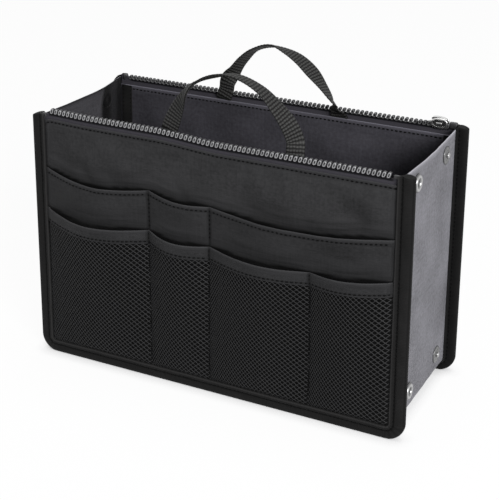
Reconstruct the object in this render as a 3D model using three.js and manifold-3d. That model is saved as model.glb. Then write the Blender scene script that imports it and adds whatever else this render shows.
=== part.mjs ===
// Purse organizer insert: two stiffened cloth panels joined by side gussets and a base that fold inward.
// Millimetres, +Z up, the pocketed front panel faces -Y and the middle of the footprint is the origin.
import * as THREE from "three";
import Module from "manifold-3d";
import { mergeVertices } from "three/addons/utils/BufferGeometryUtils.js";

const wasm = await Module();
wasm.setup();

// Driving dimensions
const panelWidth = 300;
const panelHeight = 195.5;
const bodyDepth = 117;
const sideTaper = 4;
const flange = 7;
const cornerRadius = 13;
const bindingThickness = 1;
const bindingFace = 10.5;
const clothThickness = 1;
const boardThickness = 2.2;
const liningThickness = 0.9;
const seamThickness = 1.2;
const gussetThickness = 0.8;
const tapeThickness = 0.8;
const webbingWidth = 12.5;
const webbingThickness = 1.3;
const frontHandleRise = 46;
const frontHandleLeft = -34.5;
const frontHandleRight = 61;
const frontHandleTop = 17;
const backHandleRise = 36.6;
const backHandleLeft = -43.8;
const backHandleRight = 47;
const backHandleTop = -7;
const upperPocketHeight = 152;
const netPocketHeight = 122.8;
const leftDivider = -49;
const middleDivider = 0;
const rightDivider = 79;
const netBandHeight = 12;
const upperBulge = 10.5;
const netBulge = 10;
const fullSpan = 90;
const stripThickness = 0.8;
const snapDiameter = 11.5;
const snapOffset = 30;
const lowerSnapHeight = 25;
const upperSnapDrop = 14;
const toothPitch = 3.45;
const foldLimit = THREE.MathUtils.degToRad(85.5);

// Layer depths, measured inward from the outer face of a panel's binding
const clothDepth = bindingThickness;
const boardDepth = clothDepth + clothThickness;
const liningDepth = boardDepth + boardThickness;
const innerFaceDepth = liningDepth + liningThickness;
const innerFlapDepth = innerFaceDepth + seamThickness;
const flangeDepth = innerFlapDepth + bindingThickness;
const hingeDepth = innerFlapDepth + 0.3;

// Heights along the top of a panel
const toothTop = panelHeight + 1.5;
const toothRoot = toothTop - 3;
const tapeTop = toothRoot - 1.5;
const clothTop = tapeTop - 4;
const tapeTuck = 12.5;
const tapeBottom = clothTop - tapeTuck;
const boardTop = tapeBottom - 1;
const handleHinge = toothTop + 1.25;

function halfWidth(height) {
  return panelWidth / 2 - (sideTaper * height) / panelHeight;
}

// Pocket strips on the front: thin cloth that stands away from the panel between its divider seams
const stripInset = bindingFace + 0.4;
const stripBottom = stripInset;
const upperSag = 3.2;
const netSag = 4;
const stripGap = 0.25;
const upperFullness = 3;
const netFullness = 0.45;

// The strips end just inside the binding and follow its rounded bottom corners
function stripEdge(height) {
  const radius = Math.max(cornerRadius - stripInset, 1);
  const drop = Math.max(stripInset + radius - height, 0);
  return halfWidth(height) - stripInset - radius + Math.sqrt(Math.max(radius * radius - drop * drop, 0));
}

// Width of the pocket at a place, and an arch from 0 at its seams to 1 in its middle
function pocketAt(x, seams) {
  for (let i = 0; i + 1 < seams.length; i += 1) {
    const span = seams[i + 1] - seams[i];
    if (x >= seams[i] && x <= seams[i + 1]) {
      return { span, arch: Math.sin((Math.PI * (x - seams[i])) / span) };
    }
  }
  return { span: 0, arch: 0 };
}

// A narrow pocket stands out less and a wide one hangs lower along its mouth
function swell(x, seams) {
  const { span, arch } = pocketAt(x, seams);
  return Math.sqrt(Math.min(span / fullSpan, 1)) * arch;
}

function droop(x, seams) {
  const { span, arch } = pocketAt(x, seams);
  return (span / fullSpan) * arch;
}

function pocketSeams(inner, height) {
  return [-stripEdge(height), ...inner, stripEdge(height)];
}
const upperSeams = (height) => pocketSeams([leftDivider, middleDivider], height);
const netSeams = (height) => pocketSeams([leftDivider, middleDivider, rightDivider], height);

function upperFace(x, height) {
  const share = THREE.MathUtils.clamp((height - stripBottom) / (upperPocketHeight - stripBottom), 0, 1);
  return clothDepth - stripThickness - upperBulge * swell(x, upperSeams(height)) * share ** upperFullness;
}

function netFace(x, height) {
  const share = THREE.MathUtils.clamp((height - stripBottom) / (netPocketHeight - stripBottom), 0, 1);
  const layer = upperFace(x, height) - stripThickness - stripGap;
  return layer - netBulge * swell(x, netSeams(height)) * share ** netFullness;
}

const upperEdge = (x) => upperPocketHeight - upperSag * droop(x, upperSeams(upperPocketHeight));
const netEdge = (x) => netPocketHeight - netSag * swell(x, netSeams(netPocketHeight));
const netBandEdge = (x) => netEdge(x) - netBandHeight;
const floorEdge = () => stripBottom;

// Columns run from seam to seam so that every seam and every pocket middle has one
const pocketColumns = 8;

function columnsBetween(seams) {
  const columns = [];
  for (let i = 0; i + 1 < seams.length; i += 1) {
    for (let k = 0; k < pocketColumns; k += 1) {
      columns.push(THREE.MathUtils.lerp(seams[i], seams[i + 1], k / pocketColumns));
    }
  }
  columns.push(seams[seams.length - 1]);
  return columns;
}

// The slider's bridge is the rearmost point and the fullest net pocket the foremost
const bridgeReach = 3.8;
const bandPoints = columnsBetween(netSeams(netPocketHeight)).map((x) => [x, netEdge(x)]);
const pocketReach = Math.max(...bandPoints.map(([x, height]) => -netFace(x, height)));
const overallDepth = bodyDepth + bridgeReach + pocketReach;
const frontFace = pocketReach - overallDepth / 2;
const backFace = frontFace + bodyDepth;
const foldWidth = bodyDepth - 2 * hingeDepth;
const frontHinge = frontFace + hingeDepth;
const backHinge = backFace - hingeDepth;
const creaseY = (frontHinge + backHinge) / 2;

const group = new THREE.Group();
group.name = "purse_organizer";

// Materials of the cloth, plastic and metal pieces
function surface(color, roughness, metalness) {
  return new THREE.MeshStandardMaterial({ color, roughness, metalness });
}
const blackNylon = surface(0x2f2f31, 0.8, 0);
const charcoalNylon = surface(0x3c3c40, 0.7, 0);
const greyNylon = surface(0x7e7e81, 0.75, 0);
const bindingTape = surface(0x262628, 0.85, 0);
const netCloth = surface(0x2a2a2c, 0.9, 0);
const webbing = surface(0x222224, 0.9, 0);
const stiffSheet = surface(0xd8d8d4, 0.6, 0);
const darkPlastic = surface(0x55555a, 0.4, 0);
const paleMetal = surface(0xb9babd, 0.3, 1);

// Helpers for closed solids
function toSolid(geometry) {
  const bare = geometry.clone();
  bare.deleteAttribute("normal");
  bare.deleteAttribute("uv");
  const welded = mergeVertices(bare, 1e-4);
  const vertProperties = new Float32Array(welded.attributes.position.array);
  const triVerts = new Uint32Array(welded.index.array);
  return new wasm.Manifold(new wasm.Mesh({ numProp: 3, vertProperties, triVerts }));
}

function toGeometry(solid) {
  const mesh = solid.getMesh();
  const geometry = new THREE.BufferGeometry();
  geometry.setAttribute("position", new THREE.BufferAttribute(new Float32Array(mesh.vertProperties), 3));
  geometry.setIndex(new THREE.BufferAttribute(new Uint32Array(mesh.triVerts), 1));
  return geometry;
}

function joined(geometries) {
  const solids = geometries.map(toSolid);
  return toGeometry(solids.reduce((sum, next) => sum.add(next)));
}

function addPart(name, geometry, material) {
  geometry.computeVertexNormals();
  const mesh = new THREE.Mesh(geometry, material);
  mesh.name = name;
  group.add(mesh);
}

function box(x0, x1, y0, y1, z0, z1) {
  const geometry = new THREE.BoxGeometry(x1 - x0, y1 - y0, z1 - z0);
  geometry.translate((x0 + x1) / 2, (y0 + y1) / 2, (z0 + z1) / 2);
  return geometry;
}

// A panel is "front" or "back"; depth runs from its outer face towards the inside
function depthToY(panel, layer) {
  return panel === "front" ? frontFace + layer : backFace - layer;
}

function layerBox(panel, x0, x1, near, far, z0, z1) {
  const a = depthToY(panel, near);
  const b = depthToY(panel, far);
  return box(x0, x1, Math.min(a, b), Math.max(a, b), z0, z1);
}

// A flat outline in X and Z, given thickness between two depths
function layerPlate(panel, outline, near, far) {
  const shape = new THREE.Shape(outline);
  const geometry = new THREE.ExtrudeGeometry(shape, { depth: far - near, bevelEnabled: false });
  geometry.rotateX(Math.PI / 2);
  geometry.translate(0, Math.max(depthToY(panel, near), depthToY(panel, far)), 0);
  return geometry;
}

// Side and bottom edge of a panel, inset from its outline, from the top left round to the top right
function edgeLine(inset, top) {
  const radius = Math.max(cornerRadius - inset, 1);
  const level = inset + radius;
  const half = halfWidth(level) - inset;
  const right = [];
  const steps = 6;
  for (let i = 0; i <= steps; i += 1) {
    const angle = (-Math.PI / 2) * (1 - i / steps);
    const x = half - radius + radius * Math.cos(angle);
    right.push(new THREE.Vector2(x, level + radius * Math.sin(angle)));
  }
  right.push(new THREE.Vector2(halfWidth(top) - inset, top));
  const left = right.map((point) => new THREE.Vector2(-point.x, point.y)).reverse();
  return left.concat(right);
}

function edgeBand(outerInset, innerInset, top) {
  return edgeLine(outerInset, top).concat(edgeLine(innerInset, top).reverse());
}

// Cloth layers, stiffener sheet and binding of both panels
for (const panel of ["front", "back"]) {
  const cloth = layerPlate(panel, edgeLine(bindingThickness, clothTop), clothDepth, boardDepth);
  addPart(`${panel}_outer_cloth`, cloth, blackNylon);
  const board = layerPlate(panel, edgeLine(bindingThickness, boardTop), boardDepth, liningDepth);
  addPart(`${panel}_stiffener`, board, stiffSheet);
  const lining = layerPlate(panel, edgeLine(bindingThickness, clothTop - 0.5), liningDepth, innerFaceDepth);
  addPart(`${panel}_lining`, lining, charcoalNylon);
  const seamBand = edgeBand(bindingThickness, flange - 0.1, clothTop);
  addPart(`${panel}_gusset_seam`, layerPlate(panel, seamBand, innerFaceDepth, innerFlapDepth), greyNylon);
  const foldStart = clothDepth - 0.05;
  const outerFlap = layerPlate(panel, edgeBand(0, bindingFace, panelHeight), 0, clothDepth);
  const edge = layerPlate(panel, edgeBand(0, bindingThickness, panelHeight), foldStart, flangeDepth);
  const innerFlap = layerPlate(panel, edgeBand(0, flange - 0.5, panelHeight), innerFlapDepth, flangeDepth);
  addPart(`${panel}_binding`, joined([outerFlap, edge, innerFlap]), bindingTape);
}

// Narrow tapes that cover the gusset seams inside the compartment
const seamTapeWidth = 9;
const seamTapeThickness = 0.5;
const seamTapeBottom = 30;
for (const panel of ["front", "back"]) {
  for (const side of [-1, 1]) {
    const outerLow = side * (halfWidth(seamTapeBottom) - flange - 1);
    const outerHigh = side * (halfWidth(clothTop) - flange - 1);
    const outline = [
      new THREE.Vector2(outerLow, seamTapeBottom),
      new THREE.Vector2(outerHigh, clothTop - 1),
      new THREE.Vector2(outerHigh - side * seamTapeWidth, clothTop - 1),
      new THREE.Vector2(outerLow - side * seamTapeWidth, seamTapeBottom),
    ];
    const tape = layerPlate(panel, outline, innerFaceDepth, innerFaceDepth + seamTapeThickness);
    addPart(`${panel}_seam_tape_${side < 0 ? "left" : "right"}`, tape, bindingTape);
  }
}

// Separating zip: tape, tooth row and end fittings of each half
const toothMiddle = boardDepth + tapeThickness / 2;
const toothThickness = 2 * (toothMiddle - clothDepth);
const toothNear = toothMiddle - toothThickness / 2;
const toothFar = toothMiddle + toothThickness / 2;
const toothWidth = 1.9;
const tapeUnderBinding = 4.5;
const plainTapeEnd = 6;
const fittingLength = 8;
const zipHalf = halfWidth(panelHeight) - bindingFace + tapeUnderBinding;
const fittingEnd = zipHalf - 2;
const rowStart = -zipHalf + plainTapeEnd;
const toothCount = Math.floor((2 * zipHalf - plainTapeEnd - fittingLength) / toothPitch);
const rowEnd = rowStart + (toothCount - 1) * toothPitch + toothWidth;

function toothRow(shift) {
  const end = rowEnd + shift;
  const outline = [new THREE.Vector2(end, tapeTop), new THREE.Vector2(end, toothRoot)];
  for (let i = toothCount - 1; i >= 0; i -= 1) {
    const left = rowStart + shift + i * toothPitch;
    const right = left + toothWidth;
    const chamfer = 0.4;
    if (i < toothCount - 1) {
      outline.push(new THREE.Vector2(right, toothRoot));
    }
    outline.push(new THREE.Vector2(right, toothTop - chamfer));
    outline.push(new THREE.Vector2(right - chamfer, toothTop));
    outline.push(new THREE.Vector2(left + chamfer, toothTop));
    outline.push(new THREE.Vector2(left, toothTop - chamfer));
    if (i > 0) {
      outline.push(new THREE.Vector2(left, toothRoot));
    }
  }
  outline.push(new THREE.Vector2(rowStart + shift, tapeTop));
  return outline.reverse();
}

for (const panel of ["front", "back"]) {
  const tapeFar = boardDepth + tapeThickness;
  const tape = layerBox(panel, -zipHalf, zipHalf, boardDepth, tapeFar, tapeBottom, tapeTop);
  addPart(`${panel}_zip_tape`, tape, bindingTape);
  const shift = panel === "front" ? 0 : toothPitch / 2;
  addPart(`${panel}_zip_teeth`, layerPlate(panel, toothRow(shift), toothNear, toothFar), darkPlastic);
  const stop = layerBox(panel, -fittingEnd, rowStart - 0.4, toothNear, toothFar, tapeTop, toothRoot + 1.5);
  addPart(`${panel}_zip_stop`, stop, darkPlastic);
}
const fittingStart = rowEnd + toothPitch / 2 + 0.4;
const pinNear = toothNear + 0.4;
const pinFar = toothFar - 0.4;
const pin = layerBox("front", fittingStart, fittingEnd, pinNear, pinFar, tapeTop, toothRoot + 1);
addPart("front_zip_pin", pin, darkPlastic);
const retainer = layerBox("back", fittingStart, fittingEnd, toothNear, toothFar + 0.5, tapeTop, toothTop);
addPart("back_zip_retainer", retainer, darkPlastic);

// Slider: two plates joined by a wedge above the teeth, with lips that hold the tape and a bridge behind
const sliderLength = 12.5;
const sliderBottom = tapeTop - 1.3;
const sliderTop = toothTop + 3.2;
const sliderRight = fittingStart - 1;
const sliderLeft = sliderRight - sliderLength;
const sliderMiddle = (sliderLeft + sliderRight) / 2;
const plateGap = 0.2;
const outerPlate = toothNear - plateGap;
const innerPlate = toothFar + plateGap;
const outerPlateThickness = 1.5;
const innerPlateThickness = 1;
const lipHeight = 1;
const lipClearance = 0.3;
const bridgeHalf = 3.2;
const bridgeBar = 1;
const bridgeWidth = 2.2;
const pullHeight = (sliderBottom + sliderTop) / 2 - 0.5;
const bridgeInner = -bridgeReach + bridgeBar;

function sliderBox(x0, x1, near, far, z0, z1) {
  return layerBox("back", x0, x1, near, far, z0, z1);
}
const wedgeTail = 5;
const wedgeOutline = [
  new THREE.Vector2(sliderLeft + 1, toothTop + 1.4),
  new THREE.Vector2(sliderLeft + 4, toothTop + 0.3),
  new THREE.Vector2(sliderRight - wedgeTail, toothTop + 1.4),
  new THREE.Vector2(sliderLeft + 4, toothTop + 2.5),
];
const bridgeLow = pullHeight - bridgeWidth / 2;
const bridgeHigh = pullHeight + bridgeWidth / 2;
const bridgeLeft = sliderMiddle - bridgeHalf;
const bridgeRight = sliderMiddle + bridgeHalf;
const legEnd = outerPlate - outerPlateThickness / 2;
const sliderPieces = [
  sliderBox(sliderLeft, sliderRight, outerPlate - outerPlateThickness, outerPlate, sliderBottom, sliderTop),
  sliderBox(sliderLeft, sliderRight, innerPlate, innerPlate + innerPlateThickness, sliderBottom, sliderTop),
  layerPlate("back", wedgeOutline, outerPlate - 0.1, innerPlate + 0.1),
  sliderBox(bridgeLeft, bridgeRight, -bridgeReach, bridgeInner, bridgeLow, bridgeHigh),
];
for (const left of [bridgeLeft, bridgeRight - bridgeBar]) {
  const right = left + bridgeBar;
  sliderPieces.push(sliderBox(left, right, bridgeInner - 0.1, legEnd, bridgeLow, bridgeHigh));
}
for (const bottom of [sliderBottom, sliderTop - lipHeight]) {
  const top = bottom + lipHeight;
  const tapeNear = boardDepth - lipClearance;
  const tapeFar = boardDepth + tapeThickness + lipClearance;
  sliderPieces.push(sliderBox(sliderLeft, sliderRight, outerPlate - 0.1, tapeNear, bottom, top));
  sliderPieces.push(sliderBox(sliderLeft, sliderRight, tapeFar, innerPlate + 0.1, bottom, top));
}
addPart("zip_slider", joined(sliderPieces), paleMetal);

// Pull tab: an end bar under the bridge, two arms past it and a flat tab lying along the tape
const barRadius = 0.55;
const pullDepth = (bridgeInner + outerPlate - outerPlateThickness) / 2;
const armHeight = bridgeWidth / 2 + 0.9;
const armReach = bridgeHalf + 2;
const pullLength = 22;
const tabThickness = 1.1;
const endBar = new THREE.CylinderGeometry(barRadius, barRadius, 2 * armHeight + 2 * barRadius - 0.2, 16);
endBar.rotateX(Math.PI / 2);
endBar.translate(sliderMiddle, depthToY("back", pullDepth), pullHeight);
const tabNear = pullDepth - tabThickness / 2;
const tabFar = pullDepth + tabThickness / 2;
const tabLeft = sliderMiddle - pullLength;
const tabRight = sliderMiddle - armReach;
const armHalf = 0.45;
const tabHalf = armHeight + armHalf;
const pullPieces = [
  endBar,
  layerBox("back", tabLeft, tabRight, tabNear, tabFar, pullHeight - tabHalf, pullHeight + tabHalf),
];
for (const end of [-1, 1]) {
  const low = pullHeight + end * armHeight - armHalf;
  pullPieces.push(layerBox("back", tabRight - 0.5, sliderMiddle, tabNear, tabFar, low, low + 2 * armHalf));
}
addPart("zip_pull", joined(pullPieces), paleMetal);

// Webbing strips: a rectangular section carried along stations with their own across direction
function strip(stations, width, thickness) {
  const positions = [];
  const index = [];
  for (const { centre, across, facing } of stations) {
    for (const [a, b] of [[-1, -1], [1, -1], [1, 1], [-1, 1]]) {
      const corner = centre.clone();
      corner.addScaledVector(across, (a * width) / 2);
      corner.addScaledVector(facing, (b * thickness) / 2);
      positions.push(corner.x, corner.y, corner.z);
    }
  }
  const last = stations.length - 1;
  for (let i = 0; i < last; i += 1) {
    for (let k = 0; k < 4; k += 1) {
      const a = 4 * i + k;
      const b = 4 * i + ((k + 1) % 4);
      index.push(a, b, b + 4, a, b + 4, a + 4);
    }
  }
  index.push(0, 2, 1, 0, 3, 2);
  const end = 4 * last;
  index.push(end, end + 1, end + 2, end, end + 2, end + 3);
  return outward(positions, index);
}

// Closed surface turned so that its faces look outward
function outward(positions, index) {
  const corner = (i) => new THREE.Vector3(positions[3 * i], positions[3 * i + 1], positions[3 * i + 2]);
  let volume = 0;
  for (let i = 0; i < index.length; i += 3) {
    volume += corner(index[i]).dot(corner(index[i + 1]).cross(corner(index[i + 2])));
  }
  const turned = volume > 0 ? index : index.slice().reverse();
  const geometry = new THREE.BufferGeometry();
  geometry.setAttribute("position", new THREE.Float32BufferAttribute(positions, 3));
  geometry.setIndex(turned);
  return geometry;
}

// Each handle: two sewn ends that rise past the zip and a loop that folds over at its hinge line
const footDepth = liningDepth - webbingThickness / 2 - 0.05;
const standDepth = innerPlate + innerPlateThickness + 0.35 + webbingThickness / 2;
const loopTopDepth = standDepth - 2.4;
const hingeGap = 0.2;
const uprightShare = 0.16;

// Stops of a loop on its way up and down: share of the way from its end to its top, share of its rise,
// and how far the webbing has turned from facing its panel, in degrees
const handles = {
  front: {
    left: frontHandleLeft,
    right: frontHandleRight,
    top: frontHandleTop,
    rise: frontHandleRise,
    upStops: [[0, 0, 0], [0.02, 0.16, 0], [0.12, 0.36, 22], [0.35, 0.73, 76], [0.66, 0.93, 106]],
    topTurn: 98,
    downStops: [[0.57, 0.855, 90], [0.27, 0.58, 70], [0.1, 0.33, 48], [0.02, 0.16, 0], [0, 0, 0]],
  },
  back: {
    left: backHandleLeft,
    right: backHandleRight,
    top: backHandleTop,
    rise: backHandleRise,
    upStops: [[0, 0, 0], [0.05, 0.2, 0], [0.2, 0.42, 56], [0.37, 0.655, 66], [0.6, 0.87, 75]],
    topTurn: 70,
    downStops: [
      [0.77, 0.925, 88],
      [0.575, 0.79, 103],
      [0.38, 0.58, 110],
      [0.27, 0.43, 84],
      [0.15, 0.28, 0],
      [0.05, 0.14, 0],
      [0, 0, 0],
    ],
  },
};

function handleEnd(panel, middle) {
  const line = [
    [footDepth, tapeBottom + 1],
    [footDepth, clothTop - 0.4],
    [standDepth, sliderBottom - 0.9],
    [standDepth, handleHinge - 0.75],
  ];
  const stations = line.map(([layer, height]) => ({
    centre: new THREE.Vector3(middle, depthToY(panel, layer), height),
    across: new THREE.Vector3(1, 0, 0),
    facing: new THREE.Vector3(0, 1, 0),
  }));
  return strip(stations, webbingWidth, webbingThickness);
}

// Turn of the webbing at a share of its stops, easing from each stop to the next
function turnAt(turns, share) {
  const place = share * (turns.length - 1);
  const i = Math.min(Math.floor(place), turns.length - 2);
  return THREE.MathUtils.lerp(turns[i], turns[i + 1], THREE.MathUtils.smoothstep(place - i, 0, 1));
}

function handleLoop(panel) {
  const { left, right, top, rise, upStops, topTurn, downStops } = handles[panel];
  const start = handleHinge + hingeGap;
  const point = (from, [along, share]) => {
    const lean = THREE.MathUtils.smoothstep(share, uprightShare, 1);
    const layer = THREE.MathUtils.lerp(standDepth, loopTopDepth, lean);
    const x = THREE.MathUtils.lerp(from, top, along);
    return new THREE.Vector3(x, depthToY(panel, layer), start + share * (rise - hingeGap));
  };
  const points = [
    ...upStops.map((stop) => point(left, stop)),
    point(top, [1, 1]),
    ...downStops.map((stop) => point(right, stop)),
  ];
  const turns = [...upStops.map((stop) => stop[2]), topTurn, ...downStops.map((stop) => stop[2])];
  const path = new THREE.CatmullRomCurve3(points, false, "centripetal");
  const awayFromInside = new THREE.Vector3(0, panel === "front" ? -1 : 1, 0);
  const count = 44;
  const stations = [];
  for (let i = 0; i <= count; i += 1) {
    const along = i / count;
    const tangent = path.getTangentAt(along);
    if (i === 0 || i === count) {
      tangent.set(0, 0, i === 0 ? 1 : -1);
    }
    const turn = THREE.MathUtils.degToRad(turnAt(turns, path.getUtoTmapping(along)));
    const level = new THREE.Vector3(tangent.z, 0, -tangent.x).normalize();
    const across = level.multiplyScalar(Math.cos(turn)).addScaledVector(awayFromInside, Math.sin(turn));
    across.addScaledVector(tangent, -across.dot(tangent)).normalize();
    const facing = new THREE.Vector3().crossVectors(across, tangent);
    stations.push({ centre: path.getPointAt(along), across, facing });
  }
  return strip(stations, webbingWidth, webbingThickness);
}

for (const panel of ["front", "back"]) {
  addPart(`${panel}_handle_end_left`, handleEnd(panel, handles[panel].left), webbing);
  addPart(`${panel}_handle_end_right`, handleEnd(panel, handles[panel].right), webbing);
  addPart(`${panel}_handle`, handleLoop(panel), webbing);
}

// Pocket strips of the front panel
function pocketSheet(seamsAt, face, bottomAt, topAt, rows, thickness) {
  const positions = [];
  const index = [];
  const columnCount = columnsBetween(seamsAt(netPocketHeight)).length;
  for (const back of [0, thickness]) {
    for (let j = 0; j <= rows; j += 1) {
      for (let i = 0; i < columnCount; i += 1) {
        const flat = columnsBetween(seamsAt(netPocketHeight))[i];
        const height = THREE.MathUtils.lerp(bottomAt(flat), topAt(flat), j / rows);
        const x = columnsBetween(seamsAt(height))[i];
        positions.push(x, depthToY("front", face(x, height) + back), height);
      }
    }
  }
  const layer = (rows + 1) * columnCount;
  const at = (i, j, side) => side * layer + j * columnCount + i;
  const quad = (a, b, c, d) => index.push(a, b, c, a, c, d);
  for (let j = 0; j < rows; j += 1) {
    for (let i = 0; i + 1 < columnCount; i += 1) {
      quad(at(i, j, 0), at(i + 1, j, 0), at(i + 1, j + 1, 0), at(i, j + 1, 0));
      quad(at(i, j, 1), at(i, j + 1, 1), at(i + 1, j + 1, 1), at(i + 1, j, 1));
    }
    quad(at(0, j, 0), at(0, j + 1, 0), at(0, j + 1, 1), at(0, j, 1));
    const end = columnCount - 1;
    quad(at(end, j, 0), at(end, j, 1), at(end, j + 1, 1), at(end, j + 1, 0));
  }
  for (let i = 0; i + 1 < columnCount; i += 1) {
    quad(at(i, 0, 0), at(i, 0, 1), at(i + 1, 0, 1), at(i + 1, 0, 0));
    quad(at(i, rows, 0), at(i + 1, rows, 0), at(i + 1, rows, 1), at(i, rows, 1));
  }
  return outward(positions, index);
}

const upperSheet = pocketSheet(netSeams, upperFace, floorEdge, upperEdge, 12, stripThickness);
addPart("upper_pocket", upperSheet, blackNylon);

// Net of slanting strands: each tile has a diamond gap and strands between the middles of its edges
const netColumns = 20;
const netRows = 6;
const strandShare = 0.13;
const netFrame = 2.5;
const bandGap = 0.4;

function netTile(i, j) {
  const low = 0.5 - strandShare;
  const high = 0.5 + strandShare;
  const end = 1 - strandShare;
  const rings = [
    [[low, 0], [high, 0], [0.5, strandShare]],
    [[1, low], [1, high], [end, 0.5]],
    [[high, 1], [low, 1], [0.5, end]],
    [[0, high], [0, low], [strandShare, 0.5]],
    [[high, 0], [1, low], [end, 0.5], [0.5, strandShare]],
    [[1, high], [high, 1], [0.5, end], [end, 0.5]],
    [[low, 1], [0, high], [strandShare, 0.5], [0.5, end]],
    [[0, low], [low, 0], [0.5, strandShare], [strandShare, 0.5]],
  ];
  return rings.map((ring) => ring.map(([u, v]) => [i + u, j + v]));
}

// Breaks along one edge of the net: its ends and both sides of every strand that meets it
function edgeBreaks(count) {
  const breaks = [0];
  for (let i = 0; i < count; i += 1) {
    breaks.push(i + 0.5 - strandShare, i + 0.5 + strandShare);
  }
  breaks.push(count);
  return breaks;
}

function netBorder() {
  const across = [-1, ...edgeBreaks(netColumns), netColumns + 1];
  const rings = [];
  for (const [low, high] of [[-1, 0], [netRows, netRows + 1]]) {
    for (let k = 0; k + 1 < across.length; k += 1) {
      rings.push([[across[k], low], [across[k + 1], low], [across[k + 1], high], [across[k], high]]);
    }
  }
  const upward = edgeBreaks(netRows);
  for (const [left, right] of [[-1, 0], [netColumns, netColumns + 1]]) {
    for (let k = 0; k + 1 < upward.length; k += 1) {
      rings.push([[left, upward[k]], [right, upward[k]], [right, upward[k + 1]], [left, upward[k + 1]]]);
    }
  }
  return rings;
}

// Share of a length at a net coordinate, with a border of fixed width outside the tiles
function netShare(value, count, length) {
  const border = netFrame / length;
  if (value < 0) {
    return 0;
  }
  return value > count ? 1 : THREE.MathUtils.lerp(border, 1 - border, value / count);
}

function netPoint(u, v) {
  const across = netShare(u, netColumns, 2 * stripEdge(netPocketHeight));
  const flat = THREE.MathUtils.lerp(-stripEdge(netPocketHeight), stripEdge(netPocketHeight), across);
  const top = netBandEdge(flat) - bandGap;
  const height = THREE.MathUtils.lerp(stripBottom, top, netShare(v, netRows, top - stripBottom));
  return [THREE.MathUtils.lerp(-stripEdge(height), stripEdge(height), across), height];
}

function netSheet(thickness) {
  const rings = netBorder();
  for (let i = 0; i < netColumns; i += 1) {
    for (let j = 0; j < netRows; j += 1) {
      rings.push(...netTile(i, j));
    }
  }
  const numbers = new Map();
  const positions = [];
  const index = [];
  const number = ([u, v]) => {
    const key = `${u.toFixed(4)} ${v.toFixed(4)}`;
    if (!numbers.has(key)) {
      const [x, height] = netPoint(u, v);
      const near = netFace(x, height);
      positions.push(x, depthToY("front", near), height, x, depthToY("front", near + thickness), height);
      numbers.set(key, 2 * numbers.size);
    }
    return numbers.get(key);
  };
  const edges = new Map();
  for (const ring of rings) {
    const corners = ring.map(number);
    for (let k = 1; k + 1 < corners.length; k += 1) {
      index.push(corners[0], corners[k], corners[k + 1]);
      index.push(corners[0] + 1, corners[k + 1] + 1, corners[k] + 1);
    }
    corners.forEach((a, k) => {
      const b = corners[(k + 1) % corners.length];
      if (!edges.delete(`${b} ${a}`)) {
        edges.set(`${a} ${b}`, [a, b]);
      }
    });
  }
  for (const [a, b] of edges.values()) {
    index.push(a, b + 1, b, a, a + 1, b + 1);
  }
  return outward(positions, index);
}
addPart("net_pocket", netSheet(stripThickness), netCloth);
const netBand = pocketSheet(netSeams, netFace, netBandEdge, netEdge, 2, stripThickness);
addPart("net_pocket_band", netBand, blackNylon);

// Side gussets: each is two halves that meet at a crease and fold inward between the panels
const lean = Math.atan(sideTaper / panelHeight);
const gussetTop = panelHeight - 1;
const gussetBottom = cornerRadius + 0.3;
const endGap = 0.1;

function gussetShape(side) {
  const outer = (height) => side * (halfWidth(height) - flange);
  const inner = (height) => outer(height) - side * gussetThickness;
  return new THREE.Shape([
    new THREE.Vector2(outer(gussetBottom), gussetBottom),
    new THREE.Vector2(outer(gussetTop), gussetTop),
    new THREE.Vector2(inner(gussetTop), gussetTop),
    new THREE.Vector2(inner(gussetBottom), gussetBottom),
  ]);
}

const snapHeights = { lower: lowerSnapHeight, upper: panelHeight - upperSnapDrop };
const socketHeight = 2.2;
const studBase = 1;
const studPost = 1.7;
const capHeight = 0.9;

function turnedProfile(pairs) {
  const points = pairs.map(([radius, height]) => new THREE.Vector2(radius, height));
  return new THREE.LatheGeometry([...points, points[0]], 20);
}

const snapRadius = snapDiameter / 2;
const snapForms = {
  socket: [
    [0, 0],
    [snapRadius, 0],
    [snapRadius, 0.7 * socketHeight],
    [0.9 * snapRadius, socketHeight],
    [0.56 * snapRadius, socketHeight],
    [0.5 * snapRadius, 0.25 * socketHeight],
    [0, 0.25 * socketHeight],
  ],
  stud: [
    [0, 0],
    [snapRadius, 0],
    [snapRadius, 0.6 * studBase],
    [0.92 * snapRadius, studBase],
    [0.3 * snapRadius, studBase],
    [0.28 * snapRadius, studBase + 0.5 * studPost],
    [0.32 * snapRadius, studBase + 0.8 * studPost],
    [0.22 * snapRadius, studBase + studPost],
    [0, studBase + studPost],
  ],
  cap: [
    [0, 0],
    [snapRadius, 0],
    [0.96 * snapRadius, 0.5 * capHeight],
    [0.7 * snapRadius, capHeight],
    [0, capHeight],
  ],
};

// Seats a turned snap piece on the outer or inner face of a gusset
function snapPiece(form, side, faceInset, outwardFacing, y, height) {
  const geometry = turnedProfile(snapForms[form]);
  const away = outwardFacing ? side : -side;
  geometry.rotateZ((-away * Math.PI) / 2);
  geometry.rotateY(-side * lean);
  const faceX = side * (halfWidth(height) - flange - faceInset);
  geometry.translate(faceX, y, height);
  return geometry;
}

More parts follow.
